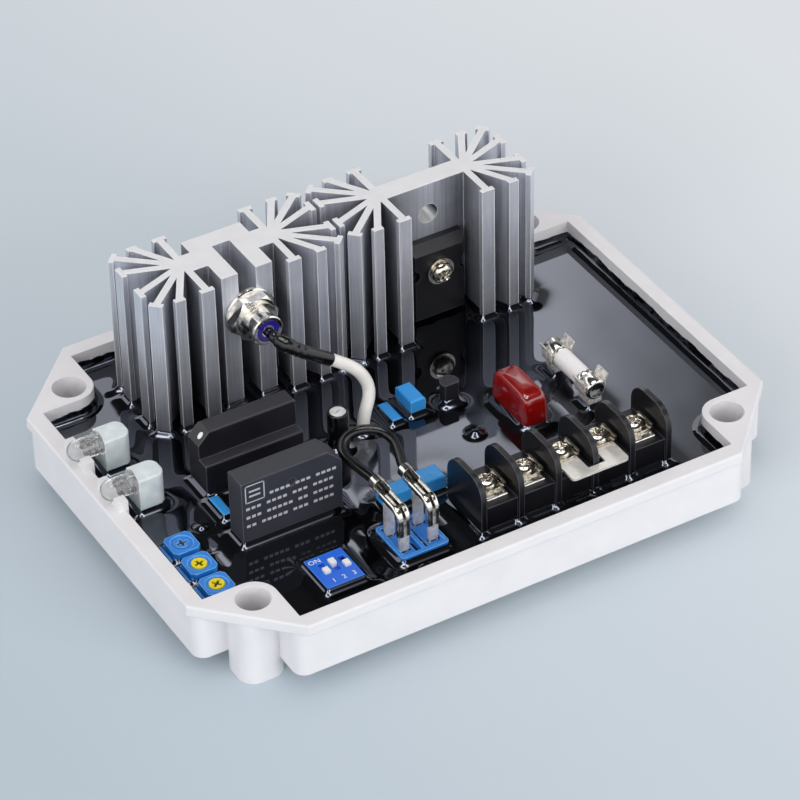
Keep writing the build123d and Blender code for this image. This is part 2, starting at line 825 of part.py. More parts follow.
def make_terminal_block():
    """Row of bays between upright walls with rounded tops."""
    front = front_inner + terminal_to_front_wall
    back = front + terminal_wall_depth
    body = block(
        terminal_left, terminal_left + terminal_bays * terminal_pitch + terminal_wall,
        front + terminal_body_inset, back - terminal_body_inset,
        z_board, z_board + deck_height,
    )
    outline = Rectangle(terminal_wall_depth, terminal_wall_height, align=(Align.CENTER, Align.MIN))
    outline = fillet(outline.vertices().group_by(Axis.Y)[-1], terminal_wall_radius)
    for wall in range(terminal_bays + 1):
        x = terminal_left + wall * terminal_pitch
        facing = Plane(origin=(x, (front + back) / 2, z_board), x_dir=(0, 1, 0), z_dir=(1, 0, 0))
        body += extrude(facing * outline, terminal_wall)
    screw_y = front + terminal_screw_setback
    bore = terminal_screw_diameter / 2 + terminal_screw_clearance
    deck = z_board + deck_height
    for bay in range(terminal_bays):
        body -= rod(bay_middle(bay), screw_y, deck, bore, terminal_screw_length, (0, 0, -1))
    return body


def make_terminal_screws():
    """One cross-head screw for each bay."""
    y = front_inner + terminal_to_front_wall + terminal_screw_setback
    screws = []
    for bay, head in enumerate(terminal_heads()):
        screw = pan_screw(
            terminal_head_diameter, terminal_head_height,
            terminal_screw_diameter, terminal_screw_length,
            terminal_slot_width, terminal_slot_depth,
        )
        turn = first_screw_turn + bay * screw_turn_step
        screws.append(Pos(bay_middle(bay), y, z_board + head) * Rot(0, 0, turn) * screw)
    return Compound(children=screws)


def make_terminal_saddles():
    """Square washer under each screw head, its left and right edges turned up."""
    y = front_inner + terminal_to_front_wall + terminal_screw_setback
    bore = terminal_screw_diameter / 2 + terminal_screw_clearance
    saddles = []
    for bay, seat in enumerate(saddle_seats()):
        x = bay_middle(bay)
        z0 = z_board + seat
        x0, x1 = x - saddle_width / 2, x + saddle_width / 2
        y0, y1 = y - saddle_depth / 2, y + saddle_depth / 2
        saddle = block(x0, x1, y0, y1, z0, z0 + saddle_thickness + saddle_lip)
        saddle = chamfer(saddle.edges().filter_by(Axis.Y).group_by(Axis.Z)[0], saddle_thickness / 2)
        saddle -= block(
            x0 + saddle_thickness, x1 - saddle_thickness, y0, y1,
            z0 + saddle_thickness, z0 + saddle_thickness + saddle_lip,
        )
        saddles.append(saddle - rod(x, y, z0, bore, saddle_thickness, (0, 0, 1)))
    return Compound(children=saddles)


def make_terminal_plates():
    """Contact plate under each screw, set back from the front of the block."""
    screw_y = front_inner + terminal_to_front_wall + terminal_screw_setback
    front = front_inner + terminal_to_front_wall + terminal_body_inset + plate_setback
    bore = terminal_screw_diameter / 2 + terminal_screw_clearance
    z0 = z_board + deck_height
    plates = []
    for bay in range(terminal_bays):
        x = bay_middle(bay)
        x0, x1 = x - plate_width / 2, x + plate_width / 2
        plate = block(x0, x1, front, front + plate_length, z0, z0 + plate_thickness)
        corner = plate.edges().filter_by(Axis.X).group_by(Axis.Z)[-1].sort_by(Axis.Y)[0]
        plate = fillet(corner, plate_thickness / 2)
        plate -= rod(x, screw_y, z0, bore, plate_thickness, (0, 0, 1))
        plates.append(plate)
    return Compound(children=plates)


def make_terminal_link():
    """Flat U that joins two bays in front of the wall between them."""
    wall_front = front_inner + terminal_to_front_wall
    screw_y = wall_front + terminal_screw_setback
    z0 = z_board + deck_height + plate_thickness
    front = wall_front - link_front_reach
    half = link_tongue_width / 2
    first, second = (bay_middle(bay) for bay in linked_bays())
    link = block(first - half, second + half, front, front + link_bar_depth, z0, z0 + link_thickness)
    for x in (first, second):
        link += block(x - half, x + half, front, front + link_tongue_length, z0, z0 + link_thickness)
    link = fillet(link.edges().filter_by(Axis.Z).group_by(Axis.Y)[0], link_bar_depth / 2)
    bore = terminal_screw_diameter / 2 + terminal_screw_clearance
    for x in (first, second):
        link -= rod(x, screw_y, z0, bore, link_thickness, (0, 0, 1))
    return link


def header_middle():
    """Plan place of the header's middle."""
    return header_x, front_inner + header_to_front_wall + header_depth / 2


def tab_columns():
    """Plan X of the two columns of tabs."""
    return [header_x + side * tab_pitch_x / 2 for side in (-1, 1)]


def tab_rows():
    """Plan Y of the two rows of tabs."""
    middle = header_middle()[1] + tab_middle_y
    return [middle + side * tab_pitch_y / 2 for side in (-1, 1)]


def make_header():
    """Low base with a recessed top, a rib between two slots, and a seat for each tab."""
    x, y = header_middle()
    half_x = header_length / 2
    half_y = header_depth / 2
    top = z_board + header_height
    outline = RectangleRounded(header_length, header_depth, header_corner_radius)
    base = Pos(x, y, z_board) * extrude(outline, header_height)
    pocket_bottom = top - header_recess
    for side in (-1, 1):
        inner = header_rib / 2
        outer = half_x - header_wall
        x0, x1 = sorted((x + side * inner, x + side * outer))
        base -= block(x0, x1, y - half_y + header_wall, y + half_y - header_wall, pocket_bottom, top)
        x0, x1 = sorted((x + side * inner, x + side * (inner + header_slot_width)))
        y0, y1 = y - header_slot_length / 2, y + header_slot_length / 2
        base -= block(x0, x1, y0, y1, pocket_bottom - header_slot_depth, pocket_bottom)
    return base - make_tabs()


def make_tabs():
    """Four upright tabs with cut tips and a hole: the front two end in the connectors,
    the rear two below them."""
    front_height = connector_underside() - connector_bend_radius - tab_tip_clearance - z_board
    tabs = []
    for x in tab_columns():
        for y, height in zip(tab_rows(), (front_height, rear_tab_height)):
            blade = Rectangle(tab_width, height, align=(Align.CENTER, Align.MIN))
            blade = chamfer(blade.vertices().group_by(Axis.Y)[-1], tab_tip_cut)
            blade -= Pos(0, height - tab_hole_below_tip) * Circle(tab_hole_diameter / 2)
            facing = Plane(origin=(x, y, z_board), x_dir=(1, 0, 0), z_dir=(0, -1, 0))
            tabs.append(extrude(facing * blade, tab_thickness / 2, both=True))
    return Compound(children=tabs)


def connector_underside():
    """Height of the connectors' level stretch, just above the rear tabs."""
    return z_board + rear_tab_height + tab_tip_clearance


def crimp_axis_z():
    """Height of the axis of the crimps."""
    return connector_underside() + connector_sheet + jumper_diameter / 2


def connector_back_y():
    """Plan Y of the back of the connectors' front stretch, behind the front tabs."""
    return tab_rows()[0] + tab_thickness / 2 + tab_face_clearance + connector_sheet


def trough_start_y():
    """Plan Y at which the rolled stretch ends and the trough for the lead starts."""
    return connector_back_y() + connector_run


def make_connector(x):
    """Sheet with both edges rolled in, bent down over a front tab, and behind it an open
    trough and a crimped ring for the lead."""
    section = RectangleRounded(connector_width, connector_height, connector_edge_radius)
    inside = (connector_width - 2 * connector_sheet, connector_height - 2 * connector_sheet)
    section -= Rectangle(*inside)
    section -= Rectangle(connector_slot, connector_height / 2, align=(Align.CENTER, Align.MIN))
    y = trough_start_y()
    z = connector_underside()
    facing = Plane(origin=(x, y, z), x_dir=(1, 0, 0), z_dir=(0, -1, 0))
    front = connector_back_y()
    corners = [Vector(x, y, z), Vector(x, front, z), Vector(x, front, z - connector_drop)]
    path = FilletPolyline(*corners, radius=connector_bend_radius)
    connector = sweep(facing * Pos(0, connector_height / 2) * section, path=path)
    axis_z = crimp_axis_z()
    bore = jumper_diameter / 2
    trough = rod(x, y, axis_z, bore + connector_sheet, trough_length, (0, 1, 0))
    trough -= block(
        x - connector_width, x + connector_width, y, y + trough_length,
        axis_z, axis_z + 2 * bore,
    )
    ring = rod(x, y + trough_length, axis_z, bore + crimp_wall, crimp_length, (0, 1, 0))
    ring -= block(
        x - crimp_seam / 2, x + crimp_seam / 2, y + trough_length, y + trough_length + crimp_length,
        axis_z, axis_z + 2 * bore,
    )
    connector += trough
    connector += ring
    return connector - rod(x, y, axis_z, bore, trough_length + crimp_length, (0, 1, 0))


def make_jumper():
    """Loop of lead from one crimped ring to the other."""
    left, right = tab_columns()
    y = trough_start_y()
    z = crimp_axis_z()
    mouth = y + trough_length + crimp_length
    points = [Vector(left, y, z), Vector(left, mouth + jumper_straight, z)]
    points += [Vector(header_x, mouth, z) + Vector(*bend) for bend in jumper_bends]
    points += [Vector(right, mouth + jumper_straight, z), Vector(right, y, z)]
    lead = tube(points, jumper_diameter / 2)
    report("jumper lead", points, lead, jumper_diameter)
    return lead


def slider_places():
    """Rest place of each slider: the middle one stands at the rear end of its slot."""
    y = front_inner + switch_to_front_wall + switch_depth / 2 + slider_front_y
    x = switch_x + slider_shift
    return [(x - slider_pitch, y), (x, y + slider_travel), (x + slider_pitch, y)]


def make_switch_body():
    """Switch case with one slot for each slider."""
    y = front_inner + switch_to_front_wall + switch_depth / 2
    half_x = switch_length / 2
    half_y = switch_depth / 2
    top = z_board + switch_height
    body = block(switch_x - half_x, switch_x + half_x, y - half_y, y + half_y, z_board, top)
    for place, (x, rest_y) in enumerate(slider_places()):
        front_y = rest_y - (slider_travel if place == 1 else 0.0)
        half_w = slider_width / 2 + slider_gap
        y0 = front_y - slider_length / 2 - slider_gap
        y1 = front_y + slider_travel + slider_length / 2 + slider_gap
        body -= block(x - half_w, x + half_w, y0, y1, top - slider_seat_depth - slider_gap, top)
    return body


def make_slider(x, y):
    """Small square slider that stands proud of the switch case."""
    top = z_board + switch_height
    half_x = slider_width / 2
    half_y = slider_length / 2
    bottom = top - slider_seat_depth
    return block(x - half_x, x + half_x, y - half_y, y + half_y, bottom, top + slider_proud)


def trimmer_places():
    """Plan places of the trimmers from the rear one to the front one."""
    x = left_inner + trimmer_to_left_wall
    first = ear_reach_y - tray_width / 2 + trimmer_to_ear + trimmer_depth / 2
    return [(x, first + step * trimmer_pitch) for step in (2, 1, 0)]


def make_trimmer_housing(x, y):
    """Square housing with cut corners, a bar behind a slot on its left, a dish and a seat."""
    outline = chamfer(Rectangle(trimmer_length, trimmer_depth).vertices(), trimmer_corner_cut)
    body = Pos(x, y, z_board) * extrude(outline, trimmer_height)
    side = x - trimmer_length / 2
    half_bar = trimmer_depth / 2 - trimmer_bar_inset
    bar_top = z_board + trimmer_base_height
    body += block(side - trimmer_base_step, x, y - half_bar, y + half_bar, z_board, bar_top)
    slot_x = side - trimmer_slot_width
    body -= block(slot_x, side, y - half_bar, y + half_bar, bar_top - trimmer_slot_depth, bar_top)
    top = z_board + trimmer_height
    body -= rod(x, y, top, trimmer_dish_diameter / 2, trimmer_dish_depth, (0, 0, -1))
    seat = rotor_diameter / 2 + rotor_gap
    depth = rotor_thickness + rotor_gap
    return body - rod(x, y, top, seat, depth, (0, 0, -1))


def make_rotor(x, y, turn):
    """Round rotor with a cross slot, a little proud of its housing."""
    rotor = Cylinder(rotor_diameter / 2, rotor_thickness, align=(Align.CENTER, Align.CENTER, Align.MAX))
    rotor -= cross_cut(rotor_slot_length, rotor_slot_width, rotor_slot_depth)
    return Pos(x, y, z_board + trimmer_height) * Rot(0, 0, turn) * rotor


def lamp_axis_z():
    """Height of the lamps' axis: they just clear the rim."""
    return z_rim + lamp_over_rim + lamp_diameter / 2


def make_lamp_holder(y):
    """Block behind a lamp, round on the side away from it."""
    x0 = left_inner + holder_to_left_wall
    x1 = x0 + holder_length
    body = block(x0, x1, y - holder_depth / 2, y + holder_depth / 2, z_board, z_board + holder_height)
    body = fillet(body.edges().filter_by(Axis.Z).group_by(Axis.X)[-1], holder_round_radius)
    return fillet(body.edges().group_by(Axis.Z)[-1], film_edge_radius)


def make_lamp(y):
    """Round lamp with a domed end, lying along -X."""
    x = left_inner + holder_to_left_wall
    z = lamp_axis_z()
    radius = lamp_diameter / 2
    body = rod(x, y, z, lamp_flange_diameter / 2, lamp_flange_thickness, (-1, 0, 0))
    straight = lamp_reach - radius
    body += rod(x, y, z, radius, straight, (-1, 0, 0))
    return body + Pos(x - straight, y, z) * Sphere(radius)


def make_parts():
    """Every node of the regulator by name."""
    parts = {"tray": make_tray(), "circuit_board": make_board()}
    parts["heat_sink_left"] = make_left_sink()
    parts["heat_sink_right"] = make_right_sink()
    parts["power_transistor"] = make_transistor()
    screw, washer = make_transistor_fixings()
    parts["transistor_screw"] = screw
    parts["transistor_washer"] = washer
    device, stud_washer, ring, lead_start = make_stud_rectifier()
    parts["stud_rectifier"] = device
    parts["stud_washer"] = stud_washer
    parts["stud_insulator"] = ring
    lead, sleeve = make_rectifier_lead(lead_start)
    parts["rectifier_lead"] = lead
    parts["lead_sleeve"] = sleeve
    parts["bridge_rectifier"] = make_bridge()
    parts["front_module"] = make_module()
    parts["electrolytic_capacitor"] = make_electrolytic()
    parts["dipped_capacitor"] = make_dipped_capacitor()
    parts["small_transistor"] = make_small_transistor()
    for name, size in film_parts.items():
        parts[name] = make_film_capacitor(size)
    step, length, depth, height = film_by_header
    y = header_middle()[1] + (header_depth + depth) / 2 + film_to_header
    parts["film_capacitor_by_header"] = make_film_capacitor((header_x + step, y, length, depth, height))
    step, length, depth, height = film_by_terminals
    x = terminal_left + step
    y = front_inner + terminal_to_front_wall + terminal_wall_depth + film_to_terminals + depth / 2
    parts["film_capacitor_by_terminals"] = make_film_capacitor((x, y, length, depth, height))
    fuse, caps = make_fuse()
    parts["fuse_tube"] = fuse
    parts["fuse_caps"] = caps
    parts["fuse_clips"] = make_fuse_clips()
    parts["terminal_block"] = make_terminal_block()
    parts["terminal_screws"] = make_terminal_screws()
    parts["terminal_saddles"] = make_terminal_saddles()
    parts["terminal_plates"] = make_terminal_plates()
    parts["terminal_link"] = make_terminal_link()
    parts["header_base"] = make_header()
    parts["header_tabs"] = make_tabs()
    left, right = tab_columns()
    parts["push_on_connector_left"] = make_connector(left)
    parts["push_on_connector_right"] = make_connector(right)
    parts["jumper_lead"] = make_jumper()
    parts["switch_body"] = make_switch_body()
    for number, (x, y) in enumerate(slider_places(), start=1):
        parts[f"switch_slider_{number}"] = make_slider(x, y)
    for (x, y), (where, turn) in zip(trimmer_places(), rotor_turns.items()):
        parts[f"trimmer_housing_{where}"] = make_trimmer_housing(x, y)
        parts[f"trimmer_rotor_{where}"] = make_rotor(x, y, turn)
    for where, y in lamp_ys.items():
        parts[f"lamp_holder_{where}"] = make_lamp_holder(y)
        parts[f"lamp_{where}"] = make_lamp(y)
    return parts


def make_potting(parts):
    """Compound that fills the tray to its level round all that stands in it."""
    potting = Pos(0, 0, z_floor) * extrude(cavity_outline(0), z_potting - z_floor)
    for x, y in post_places():
        potting -= rod(x, y, z_floor, post_diameter / 2, post_height, (0, 0, 1))
    for name, part in parts.items():
        reach = part.bounding_box().min.Z
        if name != "tray" and reach < z_potting:
            potting -= part
    return potting


parts = make_parts()
parts["potting_compound"] = make_potting(parts)
os.makedirs("parts", exist_ok=True)
for name, part in parts.items():
    export_step(part, f"parts/{name}.step")
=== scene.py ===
import bpy
import bmesh
import numpy as np
from math import cos, pi, radians, sin
from mathutils import Matrix, Vector


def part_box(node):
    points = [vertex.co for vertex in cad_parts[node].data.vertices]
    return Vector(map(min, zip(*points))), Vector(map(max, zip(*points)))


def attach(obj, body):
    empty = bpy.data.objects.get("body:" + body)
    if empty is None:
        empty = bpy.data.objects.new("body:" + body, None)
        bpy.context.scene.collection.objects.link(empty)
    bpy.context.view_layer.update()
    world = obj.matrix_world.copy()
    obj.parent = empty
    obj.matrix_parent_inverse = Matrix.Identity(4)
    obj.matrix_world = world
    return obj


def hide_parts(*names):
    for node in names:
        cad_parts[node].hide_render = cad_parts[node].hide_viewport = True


# Looks of a generator's automatic voltage regulator: a white tray of black potting
# compound with star-fin heat sinks and the parts of the circuit standing out of it.
# Sizes are written in millimetres and made metres for Blender, in the frame of the packed
# model: +X along the long side, +Y to the heat sinks, +Z up, origin under the tray's middle.

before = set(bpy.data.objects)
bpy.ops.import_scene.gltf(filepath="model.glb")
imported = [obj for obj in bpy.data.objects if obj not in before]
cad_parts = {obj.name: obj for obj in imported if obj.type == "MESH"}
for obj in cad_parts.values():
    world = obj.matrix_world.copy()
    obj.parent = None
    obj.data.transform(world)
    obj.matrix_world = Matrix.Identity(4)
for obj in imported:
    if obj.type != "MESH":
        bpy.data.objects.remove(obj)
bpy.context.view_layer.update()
MM = 0.001
BODY = "regulator"

# Levels above the plane of the feet
TRAY_FLOOR = 6.8
BOARD_TOP = 13.1
COMPOUND_LEVEL = 14.6
SWITCH_TOP = 15.9
RIM_TOP = 19.4

# The tray's hollow, whose corners step in round the ears
TRAY_INNER_X = 70.93
TRAY_INNER_Y = 54.03
EAR_INNER_X = 55.72
EAR_INNER_Y = 38.21
EAR_RADIUS = 5.6

# The heat sinks: the middle of the pair, from one sink to the other, from a sink's middle to
# each of its hubs, and the spare hole in the right one's web
SINK_PAIR_X = 0.92
SINK_Y = 32.7
SINK_SPACING = 51.25
SINK_HUB_OFFSET = 11.6
SPARE_HOLE_X = 27.195
SPARE_HOLE_Z = 42.9
SPARE_HOLE_RADIUS = 2.5


def linear(colour):
    """Linear RGBA of an sRGB hex colour."""
    parts = [int(colour[i:i + 2], 16) / 255 for i in (1, 3, 5)]
    return [c / 12.92 if c <= 0.04045 else ((c + 0.055) / 1.055) ** 2.4 for c in parts] + [1.0]


def add(tree, kind, settings, output=0):
    """Adds a node. Its attributes are set, its sockets too where they get a number or a colour,
    and linked where they get another node's output. Returns one of its own outputs."""
    made = tree.nodes.new("ShaderNode" + kind)
    for name, value in settings.items():
        if isinstance(name, str) and hasattr(made, name):
            setattr(made, name, value)
        elif isinstance(value, bpy.types.NodeSocket):
            tree.links.new(value, made.inputs[name])
        else:
            made.inputs[name].default_value = value
    return made.outputs[output]


def finish_of(name, colour, roughness, metallic=0.0, **settings):
    """New material with its shader: returns the material, its tree and the shader."""
    material = bpy.data.materials.new(name)
    material.use_nodes = True
    tree = material.node_tree
    shader = tree.nodes["Principled BSDF"]
    shader.inputs["Base Color"].default_value = linear(colour)
    shader.inputs["Roughness"].default_value = roughness
    shader.inputs["Metallic"].default_value = metallic
    for key, value in settings.items():
        shader.inputs[key.replace("_", " ")].default_value = value
    return material, tree, shader


def place_in(tree, scale=(1.0, 1.0, 1.0)):
    """Object coordinates in millimetres, with a stretch per axis. On them a noise of scale s
    has swells about 1 / s mm across."""
    where = add(tree, "TexCoord", {}, "Object")
    return add(tree, "Mapping", {"Vector": where, "Scale": [s / MM for s in scale]})


def vary(tree, shader, socket, pattern, low, high):
    """Takes a shader's socket from one value to another, number or hex colour, as a pattern
    goes from 0.3 to 0.7."""
    share = add(tree, "MapRange", {"Value": pattern, "From Min": 0.3, "From Max": 0.7})
    if socket == "Base Color":
        settings = {"data_type": "RGBA", "Factor": share, 6: linear(low), 7: linear(high)}
        tree.links.new(add(tree, "Mix", settings, 2), shader.inputs[socket])
    else:
        settings = {"Value": share, "To Min": low, "To Max": high}
        tree.links.new(add(tree, "MapRange", settings), shader.inputs[socket])


def lighten_edges(tree, shader, width_mm, colour):
    """Paints a highlight along the outer edges: mixes the shader's colour towards another where a
    rounded normal leaves the face's own. A metal is made less metallic there too."""
    rounded = add(tree, "Bevel", {"samples": 4, "Radius": width_mm * MM})
    facing = add(tree, "NewGeometry", {}, "Normal")
    agree = add(tree, "VectorMath", {"operation": "DOT_PRODUCT", 0: rounded, 1: facing}, "Value")
    share = add(tree, "MapRange", {"Value": agree, "From Min": 0.97, "From Max": 0.80})
    base = shader.inputs["Base Color"]
    now = base.links[0].from_socket if base.links else list(base.default_value)
    settings = {"data_type": "RGBA", "Factor": share, 6: now, 7: linear(colour)}
    tree.links.new(add(tree, "Mix", settings, 2), base)
    metallic = shader.inputs["Metallic"].default_value
    if metallic:
        edge_metallic = add(tree, "MapRange", {"Value": share, "To Min": metallic, "To Max": 0.0})
        tree.links.new(edge_metallic, shader.inputs["Metallic"])


def lighten_tops(tree, shader, colour):
    """Paints light and shade on faces that look up: mixes the shader's colour towards another there."""
    upward = add(tree, "SeparateXYZ", {0: add(tree, "NewGeometry", {}, "Normal")}, "Z")
    share = add(tree, "MapRange", {"Value": upward, "From Min": 0.6, "From Max": 0.9})
    base = shader.inputs["Base Color"]
    settings = {"data_type": "RGBA", "Factor": share, 6: base.links[0].from_socket, 7: linear(colour)}
    tree.links.new(add(tree, "Mix", settings, 2), base)


def relief(tree, shader, height, distance_mm, strength=1.0, rounding_mm=0.0):
    """Bump from a height and, where asked for, softly rounded edges below it."""
    settings = {"Height": height, "Distance": distance_mm * MM, "Strength": strength}
    if rounding_mm:
        settings["Normal"] = add(tree, "Bevel", {"samples": 4, "Radius": rounding_mm * MM})
    tree.links.new(add(tree, "Bump", settings), shader.inputs["Normal"])


def moulded(name, colour, roughness, grain_mm, grain_depth_mm, rounding_mm=0.0, edge=None, top=None):
    """Injection-moulded plastic: spark-eroded grain, faint patches of gloss and colour 8 mm
    across and, where asked for, a painted highlight along its edges and painted light on its tops."""
    material, tree, shader = finish_of(name, colour, roughness)
    where = place_in(tree)
    grain = add(tree, "TexNoise", {"Vector": where, "Scale": 1.0 / grain_mm})
    patches = add(tree, "TexNoise", {"Vector": where, "Scale": 0.12, "Detail": 3.0})
    darker = "#" + "".join(f"{max(0, int(colour[i:i + 2], 16) - 5):02X}" for i in (1, 3, 5))
    vary(tree, shader, "Roughness", patches, roughness - 0.05, roughness + 0.07)
    vary(tree, shader, "Base Color", patches, darker, colour)
    # Painted light and shade on faces that look up, towards the top colour
    if top:
        lighten_tops(tree, shader, top)
    if edge:
        # A painted highlight along the edges, drawn 0.36 mm wide, coarser than the real edge, so that
        # it shows
        lighten_edges(tree, shader, 0.36, edge)
    relief(tree, shader, grain, grain_depth_mm, 0.6, rounding_mm)
    return material


def plated(name, light, dark, roughness, metallic=1.0, patch_mm=1.4):
    """Plated metal: bright, with soft patches of tone and a faint grain of 0.2 mm."""
    material, tree, shader = finish_of(name, light, roughness, metallic)
    where = place_in(tree)
    patches = add(tree, "TexNoise", {"Vector": where, "Scale": 1.0 / patch_mm, "Detail": 3.0})
    vary(tree, shader, "Base Color", patches, dark, light)
    vary(tree, shader, "Roughness", patches, roughness - 0.05, roughness + 0.08)
    grain = add(tree, "TexNoise", {"Vector": where, "Scale": 5.0})
    relief(tree, shader, grain, 0.0012, 0.3, 0.1)
    return material


def make_compound_finish():
    """Black two-part potting resin, poured and cured: a strong mirror with faint swells 11 mm
    across, dulled a little by specks of dust 0.6 mm across."""
    material, tree, shader = finish_of(
        "cured_black_potting_resin", "#050507", 0.04, IOR=1.9, Specular_Tint=(0.76, 0.82, 1.0, 1.0),
    )
    where = place_in(tree)
    swell = add(tree, "TexNoise", {"Vector": where, "Scale": 0.09, "Detail": 0.0})
    dust = add(tree, "TexNoise", {"Vector": where, "Scale": 1.6, "Detail": 4.0, "Roughness": 0.7})
    vary(tree, shader, "Roughness", dust, 0.03, 0.05)
    relief(tree, shader, swell, 0.5, 0.05)
    return material


def make_aluminium_finish():
    """Extruded aluminium: satin, with die lines 0.3 mm apart up the fins, and painted shade between
    the fins and at their feet. The top face is brighter, with saw marks 0.35 mm apart along X,
    and a painted highlight lies along the edges. Lines and marks are drawn coarser than real
    ones, so that they show. The wall of the spare hole has painted shade above and painted
    light below, from black to white."""
    material, tree, shader = finish_of("extruded_aluminium", "#B4B7BF", 0.40, 0.6)
    where = place_in(tree)
    lines = add(tree, "TexNoise", {"Vector": place_in(tree, (1.0, 1.0, 0.012)), "Scale": 3.2})
    patches = add(tree, "TexNoise", {"Vector": where, "Scale": 0.22, "Detail": 4.0})
    saw_place = place_in(tree, (0.05, 2.4, 1.0))
    saw = add(tree, "TexNoise", {"Vector": saw_place, "Scale": 1.2, "Detail": 3.0})
    upward = add(tree, "SeparateXYZ", {0: add(tree, "NewGeometry", {}, "Normal")}, "Z")
    top = add(tree, "MapRange", {"Value": upward, "From Min": 0.7, "From Max": 0.95})

    # Painted light and shade: lighter by height over the compound and by distance from the
    # nearest of the four hubs, darker at the fins' feet and between them
    height = add(tree, "SeparateXYZ", {0: where}, "Z")
    rise = add(tree, "MapRange", {
        "Value": height, "From Min": COMPOUND_LEVEL, "From Max": COMPOUND_LEVEL + 30.0, "To Min": 0.25,
    })
    span = add(tree, "SeparateXYZ", {0: where}, "X")
    for middle in (SINK_PAIR_X, SINK_SPACING / 2, SINK_HUB_OFFSET):
        offset = add(tree, "Math", {"operation": "SUBTRACT", 0: span, 1: middle})
        span = add(tree, "Math", {"operation": "ABSOLUTE", 0: offset})
    depth = add(tree, "SeparateXYZ", {0: where}, "Y")
    depth = add(tree, "Math", {"operation": "SUBTRACT", 0: depth, 1: SINK_Y})
    plan = add(tree, "CombineXYZ", {0: span, 1: depth})
    out = add(tree, "VectorMath", {"operation": "LENGTH", 0: plan}, "Value")
    openness = add(tree, "MapRange", {"Value": out, "From Min": 4.0, "From Max": 12.5, "To Min": 0.3})
    lit = add(tree, "Math", {"operation": "MULTIPLY", 0: rise, 1: openness})
    painted_shade_tone_lines = add(tree, "Math", {"operation": "MULTIPLY_ADD", 0: patches, 1: 0.25, 2: lit})
    streaks = add(tree, "MapRange", {"Value": lines, "From Min": 0.3, "From Max": 0.7, "To Min": 0.74})
    painted_shade_tone_lines = add(tree, "Math", {"operation": "MULTIPLY", 0: painted_shade_tone_lines, 1: streaks})
    sides = add(tree, "Mix", {
        "data_type": "RGBA", "Factor": painted_shade_tone_lines, 6: linear("#25272F"), 7: linear("#D4D7E1"),
    }, 2)

    # The spare hole, found by distance from its axis, which runs along Y. Its wall has painted
    # shade above and painted light below.
    section = add(tree, "VectorMath", {"operation": "MULTIPLY", 0: where, 1: (1.0, 0.0, 1.0)})
    hole = {"operation": "DISTANCE", 0: section, 1: (SPARE_HOLE_X, 0.0, SPARE_HOLE_Z)}
    from_axis = add(tree, "VectorMath", hole, "Value")
    bore = add(tree, "Math", {"operation": "LESS_THAN", 0: from_axis, 1: SPARE_HOLE_RADIUS + 0.03})
    bore_painted_shading = add(tree, "Mix", {
        "data_type": "RGBA", "Factor": upward, 6: linear("#0C0D10"), 7: linear("#FFFFFF"),
    }, 2)
    sides = add(tree, "Mix", {"data_type": "RGBA", "Factor": bore, 6: sides, 7: bore_painted_shading}, 2)

    # The sawn top faces
    tops = add(tree, "Mix", {
        "data_type": "RGBA", "Factor": patches, 6: linear("#DADBDE"), 7: linear("#EAEBED"),
    }, 2)
    both = add(tree, "Mix", {"data_type": "RGBA", "Factor": top, 6: sides, 7: tops}, 2)
    tree.links.new(both, shader.inputs["Base Color"])
    vary(tree, shader, "Roughness", lines, 0.32, 0.48)
    marks = add(tree, "Mix", {"Factor": top, 2: lines, 3: saw})
    # A painted highlight along the edges
    lighten_edges(tree, shader, 0.45, "#FDFDFE")
    satin = shader.inputs["Metallic"].links[0].from_socket
    satin = add(tree, "Mix", {"Factor": top, 2: satin, 3: 0.12})
    tree.links.new(satin, shader.inputs["Metallic"])
    relief(tree, shader, marks, 0.04, 0.5, 0.15)
    return material


def make_lead_finish():
    """Silicone lead insulation: pale warm grey, soft sheen, patches of tone 5 mm long and a
    faint grain of 0.25 mm."""
    material, tree, shader = finish_of("grey_silicone_lead", "#E6E4DF", 0.30)
    where = place_in(tree)
    patches = add(tree, "TexNoise", {"Vector": where, "Scale": 0.2, "Detail": 2.0})
    vary(tree, shader, "Base Color", patches, "#DEDCD6", "#F0EEEA")
    relief(tree, shader, add(tree, "TexNoise", {"Vector": where, "Scale": 4.0}), 0.02, 0.4)
    return material


def make_dipped_finish():
    """Dark red epoxy coat on a dipped capacitor: thick, glossy, uneven by swells of 3 mm."""
    material, tree, shader = finish_of(
        "dipped_red_epoxy", "#7D0C0C", 0.16, Coat_Weight=1.0, Coat_Roughness=0.03,
    )
    where = place_in(tree)
    swell = add(tree, "TexNoise", {"Vector": where, "Scale": 0.35})
    vary(tree, shader, "Base Color", swell, "#820A0A", "#960F0E")
    relief(tree, shader, swell, 0.15, 0.06)
    return material


def make_clear_finish():
    """Water-clear cast epoxy of the lamps, bright with the light that it gathers, its skin
    rippled by 0.7 mm."""
    material, tree, shader = finish_of(
        "clear_cast_epoxy", "#FDFEFF", 0.05, IOR=1.45, Transmission_Weight=0.87,
    )
    ripple = add(tree, "TexNoise", {"Vector": place_in(tree), "Scale": 1.5, "Detail": 3.0})
    vary(tree, shader, "Roughness", ripple, 0.03, 0.09)
    relief(tree, shader, ripple, 0.02, 0.2)
    return material


def make_milky_finish():
    """Natural nylon of the lamp holders: milky, letting some light in, with patches of tone
    2.5 mm across and a grain of 0.3 mm."""
    material, tree, shader = finish_of(
        "natural_nylon", "#DCE5E8", 0.36, Subsurface_Weight=0.5, Subsurface_Scale=1.5 * MM,
    )
    where = place_in(tree)
    patches = add(tree, "TexNoise", {"Vector": where, "Scale": 0.4, "Detail": 3.0})
    vary(tree, shader, "Base Color", patches, "#D2DDE1", "#E6EDEF")
    # A painted highlight along the edges
    lighten_edges(tree, shader, 0.4, "#F8FBFB")
    relief(tree, shader, add(tree, "TexNoise", {"Vector": where, "Scale": 3.0}), 0.03, 0.4, 0.2)
    return material
